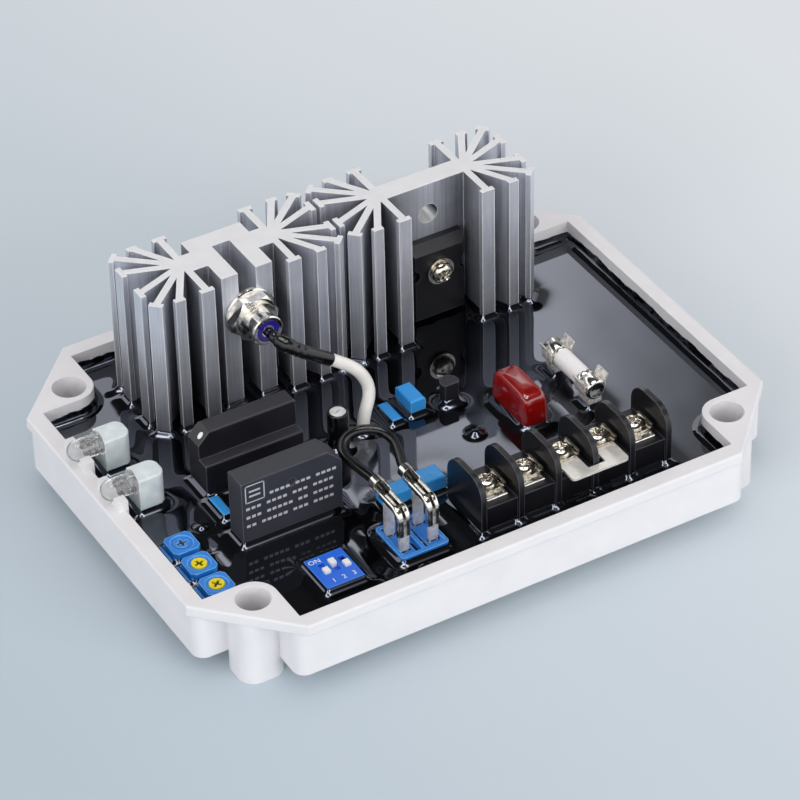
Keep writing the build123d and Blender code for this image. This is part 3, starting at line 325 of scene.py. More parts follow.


# A moulded finish gives its colour, roughness, the grain's size and depth, the rounding of
# edges, and the colours of its painted edge highlight and of its painted light and shade on
# tops. A plated one gives its light and dark tones, roughness, metallic share and the size of its
# patches.
finish = {
    "tray": moulded("white_moulded_abs", "#E9E8EA", 0.42, 0.35, 0.02, 0.25, "#F6F6F8"),
    "compound": make_compound_finish(),
    "aluminium": make_aluminium_finish(),
    "epoxy": moulded("black_moulding_epoxy", "#17171C", 0.5, 0.25, 0.03, 0.2, "#6A6A75", "#2B2B31"),
    "device": moulded("black_device_epoxy", "#121216", 0.42, 0.25, 0.03, 0.2, "#4E4E58"),
    "module": moulded("dark_grey_potting_box", "#32333B", 0.5, 0.25, 0.03, 0.2, "#73747F", "#2B2C33"),
    "terminal": moulded("black_moulded_pbt", "#121216", 0.36, 0.3, 0.02, 0.2, "#5A5C66"),
    "sleeve": moulded("black_silicone_sleeve", "#0A0A0C", 0.2, 0.5, 0.02),
    "shrink": moulded("black_shrink_film", "#0D0D10", 0.16, 0.8, 0.02),
    "light_blue": moulded("light_blue_capacitor_box", "#399EEA", 0.30, 0.3, 0.02, 0.2, "#8AD6FF"),
    "blue": moulded("blue_moulded_nylon", "#2484E2", 0.34, 0.3, 0.02, 0.16, "#9ADCFF"),
    "switch": moulded("blue_switch_case", "#2670E8", 0.32, 0.3, 0.02, 0.12, "#5BA2F6"),
    "yellow": moulded("yellow_rotor_plastic", "#F4DF08", 0.34, 0.3, 0.02, 0.1),
    "white": moulded("white_switch_plastic", "#F6F6F4", 0.34, 0.3, 0.02, 0.1),
    "ceramic": moulded("white_steatite_ceramic", "#FBFBFA", 0.26, 0.2, 0.01, 0.1),
    "violet": moulded("violet_glass_seal", "#2A2387", 0.15, 0.5, 0.01),
    "board": moulded("green_glass_fibre_board", "#1E5A34", 0.5, 0.4, 0.02),
    "nickel": plated("bright_nickel_plate", "#F6F4F0", "#C6C2BA", 0.14),
    "screw": plated("nickel_plated_steel", "#F8F1E4", "#8C8578", 0.15, patch_mm=0.9),
    "link": plated("tin_plated_link", "#FFFEFA", "#E2DED6", 0.20, 0.4, 3.0),
    "clip": plated("bright_spring_clip", "#FDFCF8", "#D8D5CE", 0.26, 0.5),
    "tinned": plated("tinned_brass", "#E6E3DF", "#BDB9B4", 0.36, metallic=0.4),
    "can_end": plated("bare_aluminium_can_end", "#FAFAFA", "#E2E2E2", 0.30, metallic=0.3),
    "frame_steel": plated("silvered_lead_frame", "#C9C6C2", "#1C1A18", 0.25, 0.6, 0.9),
    "mark": moulded("white_marking_ink", "#F4F5F4", 0.5, 0.2, 0.005),
    "grey_mark": moulded("grey_marking_ink", "#B9BAC0", 0.5, 0.2, 0.005),
    # Painted shade for the floors of the trimmers' slots
    "slot_shade": moulded("painted_rotor_slot_shade", "#3A2A06", 0.6, 0.2, 0.005),
    "lead": make_lead_finish(),
    "red": make_dipped_finish(),
    "clear": make_clear_finish(),
    "milky": make_milky_finish(),
}

node_finish = {
    "tray": "tray", "circuit_board": "board", "potting_compound": "compound",
    "heat_sink_left": "aluminium", "heat_sink_right": "aluminium",
    "power_transistor": "device", "transistor_screw": "screw", "transistor_washer": "screw",
    "stud_rectifier": "nickel", "stud_washer": "nickel", "stud_insulator": "violet",
    "rectifier_lead": "lead", "lead_sleeve": "sleeve", "jumper_lead": "sleeve",
    "bridge_rectifier": "epoxy", "front_module": "module", "small_transistor": "epoxy",
    "electrolytic_capacitor": "shrink", "dipped_capacitor": "red",
    "film_capacitor_rear_wide": "light_blue", "film_capacitor_rear_slim": "light_blue",
    "film_capacitor_left": "light_blue", "film_capacitor_by_header": "light_blue",
    "film_capacitor_by_terminals": "light_blue",
    "fuse_tube": "ceramic", "fuse_caps": "nickel", "fuse_clips": "clip",
    "terminal_block": "terminal", "terminal_screws": "screw", "terminal_plates": "nickel",
    "terminal_saddles": "screw", "terminal_link": "link", "header_base": "blue",
    "header_tabs": "tinned", "push_on_connector_left": "nickel", "push_on_connector_right": "nickel",
    "switch_body": "switch", "switch_slider_1": "white", "switch_slider_2": "white",
    "switch_slider_3": "white", "trimmer_housing_rear": "blue", "trimmer_housing_middle": "blue",
    "trimmer_housing_front": "blue", "trimmer_rotor_rear": "blue", "trimmer_rotor_middle": "yellow",
    "trimmer_rotor_front": "yellow", "lamp_holder_rear": "milky", "lamp_holder_front": "milky",
    "lamp_rear": "clear", "lamp_front": "clear",
}
for node_name, finish_name in node_finish.items():
    node_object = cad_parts[node_name]
    node_object.data.materials.clear()
    node_object.data.materials.append(finish[finish_name])


def vertices_of(mesh):
    """Points of a mesh, in millimetres."""
    points = np.empty(len(mesh.vertices) * 3)
    mesh.vertices.foreach_get("co", points)
    return points.reshape(-1, 3) / MM


def shade(mesh, material, sharp_degrees):
    """Gives a mesh its finish and smooth shading, but for edges sharper than an angle."""
    mesh.shade_smooth()
    mesh.set_sharp_from_angle(angle=radians(sharp_degrees))
    mesh.materials.append(finish[material])


def place_piece(name, data, replaced=None, body=BODY):
    """Object of a finished mesh or curve. It rides on a body and may stand for a CAD node,
    which it hides."""
    piece = bpy.data.objects.new(name, data)
    bpy.context.scene.collection.objects.link(piece)
    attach(piece, body)
    if replaced:
        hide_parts(replaced)
    return piece


def mesh_piece(name, shells, material, replaced=None, body=BODY):
    """Piece from shells, each an array of points in millimetres and a list of faces."""
    points = []
    faces = []
    for shell_points, shell_faces in shells:
        start = len(points)
        points.extend((shell_points * MM).tolist())
        faces.extend([[i + start for i in face] for face in shell_faces])
    mesh = bpy.data.meshes.new(name)
    mesh.from_pydata(points, [], faces)
    work = bmesh.new()
    work.from_mesh(mesh)
    bmesh.ops.remove_doubles(work, verts=work.verts, dist=0.002 * MM)
    bmesh.ops.recalc_face_normals(work, faces=work.faces)
    work.to_mesh(mesh)
    work.free()
    shade(mesh, material, sharp_degrees=38)
    return place_piece(name, mesh, replaced, body)


def grid(points, wrap_rows=False, wrap_columns=False, cap=False):
    """Shell over a grid of points (rows, columns, 3): each face joins four neighbours.
    The first and last rows may be closed with a flat face each."""
    rows, columns = points.shape[:2]
    number = np.arange(rows * columns).reshape(rows, columns)
    lower = number if wrap_rows else number[:-1]
    upper = np.roll(number, -1, 0) if wrap_rows else number[1:]
    if wrap_columns:
        a, b = lower, np.roll(lower, -1, 1)
        d, c = upper, np.roll(upper, -1, 1)
    else:
        a, b = lower[:, :-1], lower[:, 1:]
        d, c = upper[:, :-1], upper[:, 1:]
    faces = np.stack([a, b, c, d], -1).reshape(-1, 4).tolist()
    if cap:
        faces.append(number[0][::-1].tolist())
        faces.append(number[-1].tolist())
    return points.reshape(-1, 3), faces


def circle_about(axis, turn):
    """Unit circle round an axis that is square to X: cos t * X + sin t * (axis cross X)."""
    across = np.array((1.0, 0.0, 0.0))
    third = np.cross(axis, across)
    return np.cos(turn)[:, None] * across + np.sin(turn)[:, None] * third


def turned(profile, centre, axis):
    """Shell of a turned shape: each profile point (radius, height) goes round the axis.
    Point = centre + height * axis + radius * circle."""
    radius, height = np.array(profile).T[:, :, None, None]
    circle = circle_about(axis, np.linspace(0, 2 * pi, 48, endpoint=False))
    points = np.array(centre) + height * np.array(axis) + radius * circle
    return grid(points, wrap_columns=True)


def cut_sheet(outline, thickness, centre, across, upward):
    """Shell of a flat plate: an outline of points (a, b) becomes centre + a * across +
    b * upward, once on each side of the middle plane, joined by its edge."""
    outline = np.asarray(outline, float)
    across = np.asarray(across, float)
    upward = np.asarray(upward, float)
    plane = np.asarray(centre, float) + outline[:, :1] * across + outline[:, 1:] * upward
    half = np.cross(across, upward) * thickness / 2
    return grid(np.stack([plane + half, plane - half]), wrap_columns=True, cap=True)


def strip(x0, x1, z0, z1):
    """Outline of a straight bar between two corners."""
    return [(x0, z0), (x1, z0), (x1, z1), (x0, z1)]


def segments_at(nodes, level):
    """Ends of the straight cuts, in millimetres, that a level makes through the nodes'
    triangles. Two sides of a cut triangle cross the level, at a share of their length."""
    cuts = []
    for name in nodes:
        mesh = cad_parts[name].data
        mesh.calc_loop_triangles()
        corners = np.empty(len(mesh.loop_triangles) * 3, int)
        mesh.loop_triangles.foreach_get("vertices", corners)
        starts = vertices_of(mesh)[corners.reshape(-1, 3)]
        above = starts[:, :, 2] > level
        starts = starts[above.any(1) & ~above.all(1)]
        ends = np.roll(starts, -1, 1)
        crosses = (starts[:, :, 2] > level) != (ends[:, :, 2] > level)
        rise = np.where(crosses, ends[:, :, 2] - starts[:, :, 2], 1.0)
        share = np.where(crosses, (level - starts[:, :, 2]) / rise, 0.0)
        spots = starts[:, :, :2] + share[:, :, None] * (ends[:, :, :2] - starts[:, :, :2])
        both = np.argsort(~crosses, axis=1, kind="stable")[:, :2]
        cuts.append(np.take_along_axis(spots, both[:, :, None], 1))
    return np.concatenate(cuts)


def distance_to(cuts, points):
    """Distance of each plan point to the nearest of the cuts."""
    far = 1e9
    too_short = 1e-8
    best = np.full(len(points), far)
    for start, end in cuts:
        run = end - start
        length = run @ run
        if length < too_short:
            continue
        share = np.clip((points - start) @ run / length, 0, 1)
        gap = points - start - share[:, None] * run
        best = np.minimum(best, (gap * gap).sum(1))
    return np.sqrt(best)


def ear_gap(x, y):
    """Distance from a plan point to the nearest corner ear, negative inside it."""
    reach_x = np.maximum(EAR_INNER_X + EAR_RADIUS - np.abs(x), 0)
    reach_y = np.maximum(EAR_INNER_Y + EAR_RADIUS - np.abs(y), 0)
    return np.hypot(reach_x, reach_y) - EAR_RADIUS


def make_compound():
    """Cured compound on a square grid, which climbs a little wherever it meets a part.
    Height = level + climb * exp(-distance / reach) + lump * exp(-(distance / radius)^3) for
    each small lump. Upright sides inside the walls and a flat face on the floor close it."""
    pitch = 0.42
    inside_wall = 0.5
    climb = 1.3
    reach = 0.95
    # X, Y, radius and height of each lump
    lumps = [(12.0, -15.0, 1.7, 0.9), (13.2, -1.7, 3.2, 0.5), (-56.9, -11.5, 1.2, 0.6)]
    half_x = TRAY_INNER_X + inside_wall
    half_y = TRAY_INNER_Y + inside_wall
    xs = np.arange(-half_x, half_x + pitch, pitch)
    ys = np.arange(-half_y, half_y + pitch, pitch)
    x, y = np.meshgrid(xs, ys, indexing="ij")
    standing = [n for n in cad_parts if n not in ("tray", "potting_compound", "circuit_board")]
    standing = [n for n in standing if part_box(n)[0][2] < COMPOUND_LEVEL * MM]
    cuts = segments_at(standing, COMPOUND_LEVEL + 0.05)
    gap = distance_to(cuts, np.stack([x.ravel(), y.ravel()], 1)).reshape(x.shape)
    z = COMPOUND_LEVEL + climb * np.exp(-gap / reach)
    for lump_x, lump_y, radius, height in lumps:
        z += height * np.exp(-(((x - lump_x) ** 2 + (y - lump_y) ** 2) / radius ** 2) ** 1.5)
    points = np.stack([x, y, z], -1)
    number = np.arange(x.size).reshape(x.shape)
    middle_x = (x[:-1, :-1] + x[1:, 1:]) / 2
    middle_y = (y[:-1, :-1] + y[1:, 1:]) / 2
    kept = ear_gap(middle_x, middle_y) > -inside_wall
    corners = np.stack([number[:-1, :-1], number[1:, :-1], number[1:, 1:], number[:-1, 1:]], -1)[kept]
    used, faces = np.unique(corners, return_inverse=True)
    mesh = bpy.data.meshes.new("cured_compound")
    mesh.from_pydata((points.reshape(-1, 3)[used] * MM).tolist(), [], faces.reshape(-1, 4).tolist())
    work = bmesh.new()
    work.from_mesh(mesh)
    rim = [e for e in work.edges if e.is_boundary]
    made = bmesh.ops.extrude_edge_only(work, edges=rim)["geom"]
    for vertex in [g for g in made if isinstance(g, bmesh.types.BMVert)]:
        vertex.co.z = TRAY_FLOOR * MM
    bottom = [g for g in made if isinstance(g, bmesh.types.BMEdge) and g.is_boundary]
    bmesh.ops.contextual_create(work, geom=bottom)
    bmesh.ops.recalc_face_normals(work, faces=work.faces)
    work.to_mesh(mesh)
    work.free()
    shade(mesh, "compound", sharp_degrees=50)
    place_piece("cured_compound", mesh, "potting_compound")


def wall_outline():
    """Inside of the tray's wall seen from above: four sides stepping in at the corners, where
    each ear's corner is an arc. Plan points and the way into the tray, both in order."""
    turn = np.linspace(0, pi / 2, 8)
    arc = np.stack([np.cos(turn), np.sin(turn)], 1)
    middle = np.array((EAR_INNER_X + EAR_RADIUS, EAR_INNER_Y + EAR_RADIUS))
    quarter = np.concatenate([
        [(TRAY_INNER_X, 0.0), (TRAY_INNER_X, EAR_INNER_Y)],
        middle - EAR_RADIUS * arc[:, ::-1],
        [(EAR_INNER_X, TRAY_INNER_Y), (0.0, TRAY_INNER_Y)],
    ])
    inward = np.concatenate([
        [(-1.0, 0.0), (-1.0, -1.0)], -arc[:, ::-1], [(-1.0, -1.0), (0.0, -1.0)],
    ])
    ways = [(1, 1), (-1, 1), (-1, -1), (1, -1)]
    points = [quarter[::a * b] * (a, b) for a, b in ways]
    inwards = [inward[::a * b] * (a, b) for a, b in ways]
    return np.concatenate(points), np.concatenate(inwards)


def make_skin():
    """Compound that clings to the walls: a tapering section carried round the cavity, whose
    top rises and falls by waves of 23, 61 and 140 to the round."""
    spacing = 0.8
    points, inwards = wall_outline()
    ring = np.concatenate([points, points[:1]])
    ways = np.concatenate([inwards, inwards[:1]])
    steps = np.linalg.norm(np.diff(ring, axis=0), axis=1)
    kept = np.concatenate([[True], steps > 1e-6])
    ring, ways, along = ring[kept], ways[kept], np.concatenate([[0], np.cumsum(steps)])[kept]
    wanted = np.unique(np.concatenate([along, np.arange(0, along[-1], spacing)]))[:-1]
    place = np.stack([np.interp(wanted, along, ring[:, i]) for i in (0, 1)], 1)
    inward = np.stack([np.interp(wanted, along, ways[:, i]) for i in (0, 1)], 1)
    turn = 2 * pi * wanted / along[-1]
    wave = 0.22 * np.sin(23 * turn) + 0.12 * np.sin(61 * turn + 1) + 0.05 * np.sin(140 * turn)
    # Distance from the wall, share of the wave and height over the compound's level
    section = np.array([
        (-0.3, 0.0, -0.6), (-0.3, 1.0, 1.95), (0.0, 1.0, 1.95), (0.14, 1.0, 1.86), (0.24, 0.9, 1.5),
        (0.34, 0.6, 1.05), (0.52, 0.3, 0.66), (0.85, 0.1, 0.33), (1.35, 0.0, 0.13), (2.1, 0.0, 0.02),
        (2.5, 0.0, -0.6),
    ])
    plan = place[None] + section[:, None, :1] * inward[None]
    height = COMPOUND_LEVEL + section[:, 2:] + section[:, 1:2] * wave[None]
    shell = grid(np.concatenate([plan, height[:, :, None]], 2), wrap_rows=True, wrap_columns=True)
    mesh_piece("clinging_compound", [shell], "compound")


def make_cord(name, route, diameter, material, node, shares=()):
    """Round lead on one smooth curve through the route's control points. The shares thin it
    at its first points."""
    curve = bpy.data.curves.new(name, "CURVE")
    curve.dimensions = "3D"
    spline = curve.splines.new("NURBS")
    spline.points.add(len(route) - 1)
    for point, place in zip(spline.points, route):
        point.co = [c * MM for c in place] + [1.0]
    for point, share in zip(spline.points, shares):
        point.radius = share
    spline.order_u = 3
    spline.use_endpoint_u = True
    spline.resolution_u = 12
    curve.bevel_depth = diameter / 2 * MM
    curve.bevel_resolution = 5
    curve.use_fill_caps = True
    curve.materials.append(finish[material])
    return place_piece(name, curve, node)


def mesh_of(curve):
    """Mesh of a curve or of words, by way of an object that is removed again."""
    holder = bpy.data.objects.new("holder", curve)
    bpy.context.scene.collection.objects.link(holder)
    bpy.context.view_layer.update()
    mesh = bpy.data.meshes.new_from_object(holder)
    bpy.data.objects.remove(holder)
    return mesh


def curve_line(piece):
    """Points of a cord's own line, in millimetres, from its curve without thickness."""
    bare = piece.data.copy()
    bare.bevel_depth = 0.0
    mesh = mesh_of(bare)
    line = vertices_of(mesh)
    bpy.data.meshes.remove(mesh)
    return line


def resampled(line, count, stop):
    """Evenly spaced points of a line, up to a share of its length."""
    steps = np.linalg.norm(np.diff(line, axis=0), axis=1)
    along = np.concatenate([[0], np.cumsum(steps)])
    wanted = np.linspace(0, along[-1] * stop, count)
    return np.stack([np.interp(wanted, along, line[:, axis]) for axis in range(3)], 1)


def tube_along(line, radii):
    """Shell of a tube: at each point of the line a circle of that point's radius,
    point + radius * (cos t * side + sin t * upward), where side is level and both are square
    to the line. Where the line stands nearly upright, side is square to X instead."""
    ahead = np.gradient(line, axis=0)
    ahead /= np.linalg.norm(ahead, axis=1)[:, None]
    side = np.cross(ahead, (0.0, 0.0, 1.0))
    upright = np.linalg.norm(side, axis=1) < 0.2
    side[upright] = np.cross(ahead[upright], (1.0, 0.0, 0.0))
    side /= np.linalg.norm(side, axis=1)[:, None]
    upward = np.cross(side, ahead)
    turn = np.linspace(0, 2 * pi, 24, endpoint=False)
    ring = np.cos(turn)[None, :, None] * side[:, None] + np.sin(turn)[None, :, None] * upward[:, None]
    points = line[:, None] + radii[:, None, None] * ring
    return grid(points, wrap_columns=True, cap=True)


# The rectifier's lead: out of the can, over and down into the compound. Each step leads
# from one point of its route to the next.
CAN_FRONT = (-24.705, 13.9, 39.8)
LEAD_DIAMETER = 3.0
rectifier_steps = [
    (0.0, -2.6, 0.0), (1.1, -2.4, -0.7), (2.6, -1.9, -1.7), (4.7, -1.0, -3.0), (4.6, -0.2, -3.0),
    (4.9, -1.5, -3.6), (1.8, -2.0, -5.2), (-4.4, -3.2, -4.8),
]
rectifier_route = [CAN_FRONT]
for step in rectifier_steps:
    rectifier_route.append(tuple(a + b for a, b in zip(rectifier_route[-1], step)))
rectifier_route.append(rectifier_route[-1][:2] + (BOARD_TOP,))
lead_cord = make_cord(
    "rectifier_lead_cord", rectifier_route, LEAD_DIAMETER, "lead", "rectifier_lead",
    shares=(0.55, 0.55, 0.78, 0.96),
)
lead_line = curve_line(lead_cord)

# The jumper: a loop from one crimp barrel to the other
JUMPER_START = (-23.4, -35.45, 27.0)
JUMPER_DIAMETER = 2.4
jumper_route = [
    JUMPER_START, (-23.4, -30.45, 27.0), (-24.4, -25.15, 27.1), (-25.24, -19.66, 27.4),
    (-22.97, -15.68, 27.6), (-18.62, -14.24, 27.7), (-14.42, -16.06, 27.6), (-12.5, -20.21, 27.3),
    (-14.1, -25.65, 27.1), (-16.0, -30.45, 27.0), (-16.0, -35.45, 27.0),
]
jumper_cord = make_cord(
    "jumper_lead_cord", jumper_route, JUMPER_DIAMETER, "sleeve", "jumper_lead",
)
jumper_line = curve_line(jumper_cord)


def make_sleeve():
    """Shrunk sleeve over the first stretch of the lead: narrow on the post, then the lead's
    radius and its own wall, and drawn in at its end. At a share s of its length its wrinkles
    are 0.13 sin(62 s) sin(9 s) (1 - s)^1.5."""
    count = 110
    line = resampled(lead_line, count, 0.42)
    share = np.linspace(0, 1, count)
    places = [0.0, 0.06, 0.12, 0.26, 0.34, 0.46, 1.0]
    radii = np.interp(share, places, [1.25, 1.15, 1.28, 1.74, 1.86, 1.6, 1.66])
    radii += 0.13 * np.sin(share * 62) * np.sin(share * 9) * (1.0 - share) ** 1.5
    radii[-3:] = (1.66, 1.62, 1.53)
    return mesh_piece("shrunk_sleeve", [tube_along(line, radii)], "sleeve", "lead_sleeve")


def head_shell(centre, axis, height, turn_degrees):
    """Shell of a pan-head screw and its shank. Over the head at radius r and angle t it is a
    dome, height * (1 - 0.55 (r / radius)^4), less 0.7 in the cross. The cross is where the
    smaller of |r sin t| and |r cos t| is under 0.34. It runs out by 0.5, and by 0.6 of the
    radius."""
    radius = 2.68
    shank = 1.5
    rows = np.concatenate([np.linspace(0, 0.62, 12), np.linspace(0.66, 1.0, 8)]) * radius
    turn = np.linspace(0, 2 * pi, 72, endpoint=False)
    r, t = np.meshgrid(rows, turn, indexing="ij")
    arm = np.minimum(np.abs(r * np.sin(t)), np.abs(r * np.cos(t)))
    cross = np.clip((0.5 - arm) / 0.16, 0, 1) * np.clip((0.6 * radius - r) / 0.2, 0, 1)
    lift = height * (1.0 - 0.55 * (r / radius) ** 4) - 0.7 * cross
    below = [(radius, 0.12), (radius * 0.94, 0.0), (shank, 0.0), (shank, -5.6), (0.0, -6.0)]
    out, level = np.array(below).T[:, :, None, None]
    centre, axis = np.array(centre), np.array(axis)
    circle = circle_about(axis, turn + radians(turn_degrees))
    top = centre + lift[:, :, None] * axis + r[:, :, None] * circle
    rest = centre + level * axis + out * circle
    return grid(np.concatenate([top, rest]), wrap_columns=True)


def make_screws():
    """Pan-head screws of the terminals, each turned its own way and two of them on the link,
    and that of the transistor."""
    first_x = -0.44
    bay_pitch = 9.72
    row_y = -40.2
    saddle_seat = 22.8
    link_seat = 23.4
    shells = []
    for bay in range(5):
        place = (first_x + bay_pitch * bay, row_y, link_seat if bay in (2, 3) else saddle_seat)
        shells.append(head_shell(place, (0, 0, 1), height=1.6, turn_degrees=20 + 25 * bay))
    mesh_piece("terminal_pan_screws", shells, "screw", "terminal_screws")
    low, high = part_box("transistor_screw")
    head_height = 2.0
    place = ((low[0] + high[0]) / 2 / MM, low[1] / MM + head_height, (low[2] + high[2]) / 2 / MM)
    shell = head_shell(place, (0, -1, 0), head_height, turn_degrees=30)
    mesh_piece("transistor_pan_screw", [shell], "screw", "transistor_screw")


def make_electrolytic():
    """Small capacitor: a shrink sleeve turned in over the can's rim, beaded above its foot,
    and the bare can end with a vent score, drawn as a thin dark strip on it: painted shade of the
    score's groove. Lines give radius and level."""
    x, y = -16.7, -2.7
    end_level = 24.64
    sleeve_line = [
        (0.0, BOARD_TOP), (2.5, BOARD_TOP), (2.5, 14.9), (2.42, 15.05), (2.2, 15.3), (2.2, 15.5),
        (2.42, 15.75), (2.5, 15.9), (2.5, 24.1), (2.47, 24.35), (2.36, 24.56), (2.2, 24.66),
        (2.0, 24.68), (1.9, 24.62), (1.86, 24.4), (0.0, 24.4),
    ]
    end_line = [
        (0.0, 24.3), (1.87, 24.3), (1.87, 24.56), (1.7, 24.62), (0.9, end_level), (0.0, end_level),
    ]
    sleeve_shell = turned(sleeve_line, (x, y, 0), (0, 0, 1))
    mesh_piece("capacitor_sleeve", [sleeve_shell], "shrink", "electrolytic_capacitor")
    end_shell = turned(end_line, (x, y, 0), (0, 0, 1))
    mesh_piece("capacitor_can_end", [end_shell], "can_end")
    # Painted shade: a thin dark strip on the can end stands for the vent score's groove
    bar = strip(-0.75, 0.75, -0.07, 0.07)
    score = cut_sheet(bar, 0.05, (x, y, end_level), (0.9, 0.4, 0), (-0.4, 0.9, 0))
    mesh_piece("capacitor_vent_score_shade", [score], "frame_steel")


def make_fuse_ends():
    """Nickel caps of the fuse: rounded end with a shallow dish, a groove rolled near the
    mouth. The line gives radius and distance from the end."""
    x, z = 40.4, 19.8
    # Each end's Y, and the way along the tube from it
    ends = ((-22.1, 1), (-2.1, -1))
    line = [
        (0.0, 0.22), (1.5, 0.2), (1.75, 0.05), (2.0, 0.0), (2.3, 0.08), (2.5, 0.28), (2.6, 0.6),
        (2.6, 3.9), (2.52, 4.05), (2.46, 4.2), (2.52, 4.35), (2.6, 4.5), (2.6, 5.2), (2.56, 5.3),
        (2.37, 5.3), (2.35, 5.2), (2.35, 0.5), (0.0, 0.5),
    ]
    shells = [turned(line, (x, y, z), (0, way, 0)) for y, way in ends]
    mesh_piece("fuse_end_caps", shells, "nickel", "fuse_caps")


def make_lamp_frames():
    """Lead frame cast into each lamp: a post with its cup and a shorter one beside it, both
    cut from one sheet. Outlines give X and Z from the middle of the lamp's back."""
    back_x = -66.5
    level = 22.0
    sheet = 0.5
    cup = [
        (0.4, 0.95), (-1.6, 0.95), (-1.9, 0.15), (-4.6, 0.15), (-4.9, 0.6), (-4.9, 1.75),
        (-3.2, 1.75), (-2.6, 1.45), (0.4, 1.45),
    ]
    pin = [
        (0.4, -1.45), (-3.4, -1.45), (-4.3, -1.0), (-4.3, -0.35), (-3.0, -0.35), (-2.2, -0.95),
        (0.4, -0.95),
    ]
    for where, y in (("rear", 18.75), ("front", 2.35)):
        place = (back_x, y, level)
        shells = [cut_sheet(outline, sheet, place, (1, 0, 0), (0, 0, 1)) for outline in (cup, pin)]
        mesh_piece(f"lamp_frame_{where}", shells, "frame_steel")


def make_words(name, words, place):
    """Generic switch lettering as thin raised ink, read from the front."""
    curve = bpy.data.curves.new(name, "FONT")
    curve.body = words
    curve.size = 1.9 * MM
    curve.extrude = 0.02 * MM
    curve.resolution_u = 3
    mesh = mesh_of(curve)
    shell = (vertices_of(mesh) + place, [list(p.vertices) for p in mesh.polygons])
    mesh_piece(name, [shell], "mark")
    bpy.data.meshes.remove(mesh)


def make_switch_marks():
    """The word and the figures on the switch, one figure before each slider."""
    middle_x = -39.55
    slider_pitch = 2.54
    make_words("switch_mark_on", "ON", (-43.9, -37.2, SWITCH_TOP))
    for number in (1, 2, 3):
        place = (middle_x + slider_pitch * (number - 2), -44.7, SWITCH_TOP)
        make_words(f"switch_mark_{number}", str(number), place)


def make_module_bars():
    """Plain bars on the module's front: a square frame with two lines in it, and rows of
    short bars in groups."""
    front_y = -22.7
    pitch = 1.36
    length = 0.95
    half_height = 0.36
    # From X to X and from Z to Z
    bars = [
        (-51.4, -46.5, 31.0, 31.3), (-51.4, -46.5, 26.4, 26.7), (-51.4, -51.1, 26.4, 31.3),
        (-46.8, -46.5, 26.4, 31.3), (-50.4, -47.6, 29.2, 29.7), (-50.4, -47.6, 27.9, 28.4),
    ]
    # Each row's start and level, and how many bars each of its groups has
    rows = [
        (-45.3, 27.2, (4, 3, 4)), (-51.3, 24.8, (3, 4, 3, 4)), (-51.3, 22.4, (3, 5, 2, 4)),
        (-51.3, 20.0, (2, 5, 3, 4)),
    ]
    for x, z, groups in rows:
        for count in groups:
            starts = [x + pitch * i for i in range(count)]
            bars += [(start, start + length, z - half_height, z + half_height) for start in starts]
            x += pitch * (count + 0.8)
    shells = [cut_sheet(strip(*bar), 0.04, (0, front_y, 0), (1, 0, 0), (0, 0, 1)) for bar in bars]
    mesh_piece("module_bars", shells, "grey_mark")


def make_bridge_dot():
    """White oval on the sloping corner of the bridge rectifier."""
    slope = np.array((1.0, 0.0, 1.0)) / 2 ** 0.5
    turn = np.linspace(0, 2 * pi, 20, endpoint=False)
    oval = np.stack([0.9 * np.cos(turn), 0.65 * np.sin(turn)], 1)
    dot = cut_sheet(oval, 0.06, (-49.4, 1.6, 28.5), slope, (0, 1, 0))
    mesh_piece("bridge_corner_dot", [dot], "mark")


def squarish(values):
    """Cosines or sines of a circle, bent to those of the curve |x|^6 + |y|^6 = 1."""
    return np.sign(values) * np.abs(values) ** (2 / 6)


def make_dipped():
    """Dipped capacitor: a pillow whose plan is |x/a|^6 + |y/b|^6 = 1, drawn in over its height
    so that share^6 + |z/c|^6 = 1, and flat where it stands on the board. It is widest at a
    level below the board's top."""
    below_board = 2.0
    low, high = (np.array(corner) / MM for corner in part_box("dipped_capacitor"))
    middle = (low + high) / 2
    half = (high - low) / 2
    half[2] = high[2] - BOARD_TOP + below_board
    middle[2] = high[2] - half[2]
    rise = np.linspace(-pi / 2, pi / 2, 41)
    turn = np.linspace(0, 2 * pi, 72, endpoint=False)
    outline = np.stack([squarish(np.cos(turn)), squarish(np.sin(turn))], 1)
    plan = squarish(np.cos(rise))[:, None, None] * outline[None]
    height = np.repeat(squarish(np.sin(rise))[:, None, None], len(turn), 1)
    points = middle + half * np.concatenate([plan, height], 2)
    points[:, :, 2] = np.maximum(points[:, :, 2], BOARD_TOP)
    shell = grid(points, wrap_columns=True)
    mesh_piece("dipped_pillow", [shell], "red", "dipped_capacitor")


def make_rotor_slots():
    """Painted shade in each trimmer's cross slot: a dark sheet on its floor, which turns with the
    rotor.
    """
    rotor_x = -64.6
    level = 16.84
    arm = 1.2
    half = 0.33
    outline = [
        (arm, half), (half, half), (half, arm), (-half, arm), (-half, half), (-arm, half),
        (-arm, -half), (-half, -half), (-half, -arm), (half, -arm), (half, -half), (arm, -half),
    ]
    for where, y, turn_degrees in (("rear", -16.85, 0), ("middle", -24.9, 15), ("front", -32.95, 40)):
        turn = radians(turn_degrees)
        along = (cos(turn), sin(turn), 0.0)
        beside = (-sin(turn), cos(turn), 0.0)
        shell = cut_sheet(outline, 0.06, (rotor_x, y, level), along, beside)
        body = f"trimmer_rotor_{where}"
        mesh_piece(f"rotor_slot_shade_{where}", [shell], "slot_shade", body=body)


make_compound()
make_skin()
sleeve = make_sleeve()
make_screws()
make_electrolytic()
make_fuse_ends()
make_lamp_frames()
make_switch_marks()
make_module_bars()
make_bridge_dot()
make_dipped()
make_rotor_slots()

# Camera at the photograph's place: its turn, height and tilt in degrees, its lens, and how
# far the tray's front left corner is in front of it, below its axis and to the left
CAMERA_TURN = -29.78
CAMERA_HEIGHT = 37.97
CAMERA_TILT = -1.35
CAMERA_LENS = 180.07
CAMERA_DISTANCE = 844.94
CAMERA_ASIDE = 35.92
CAMERA_ABOVE = 54.59
TRAY_CORNER = np.array((-75.0, -58.1, RIM_TOP))


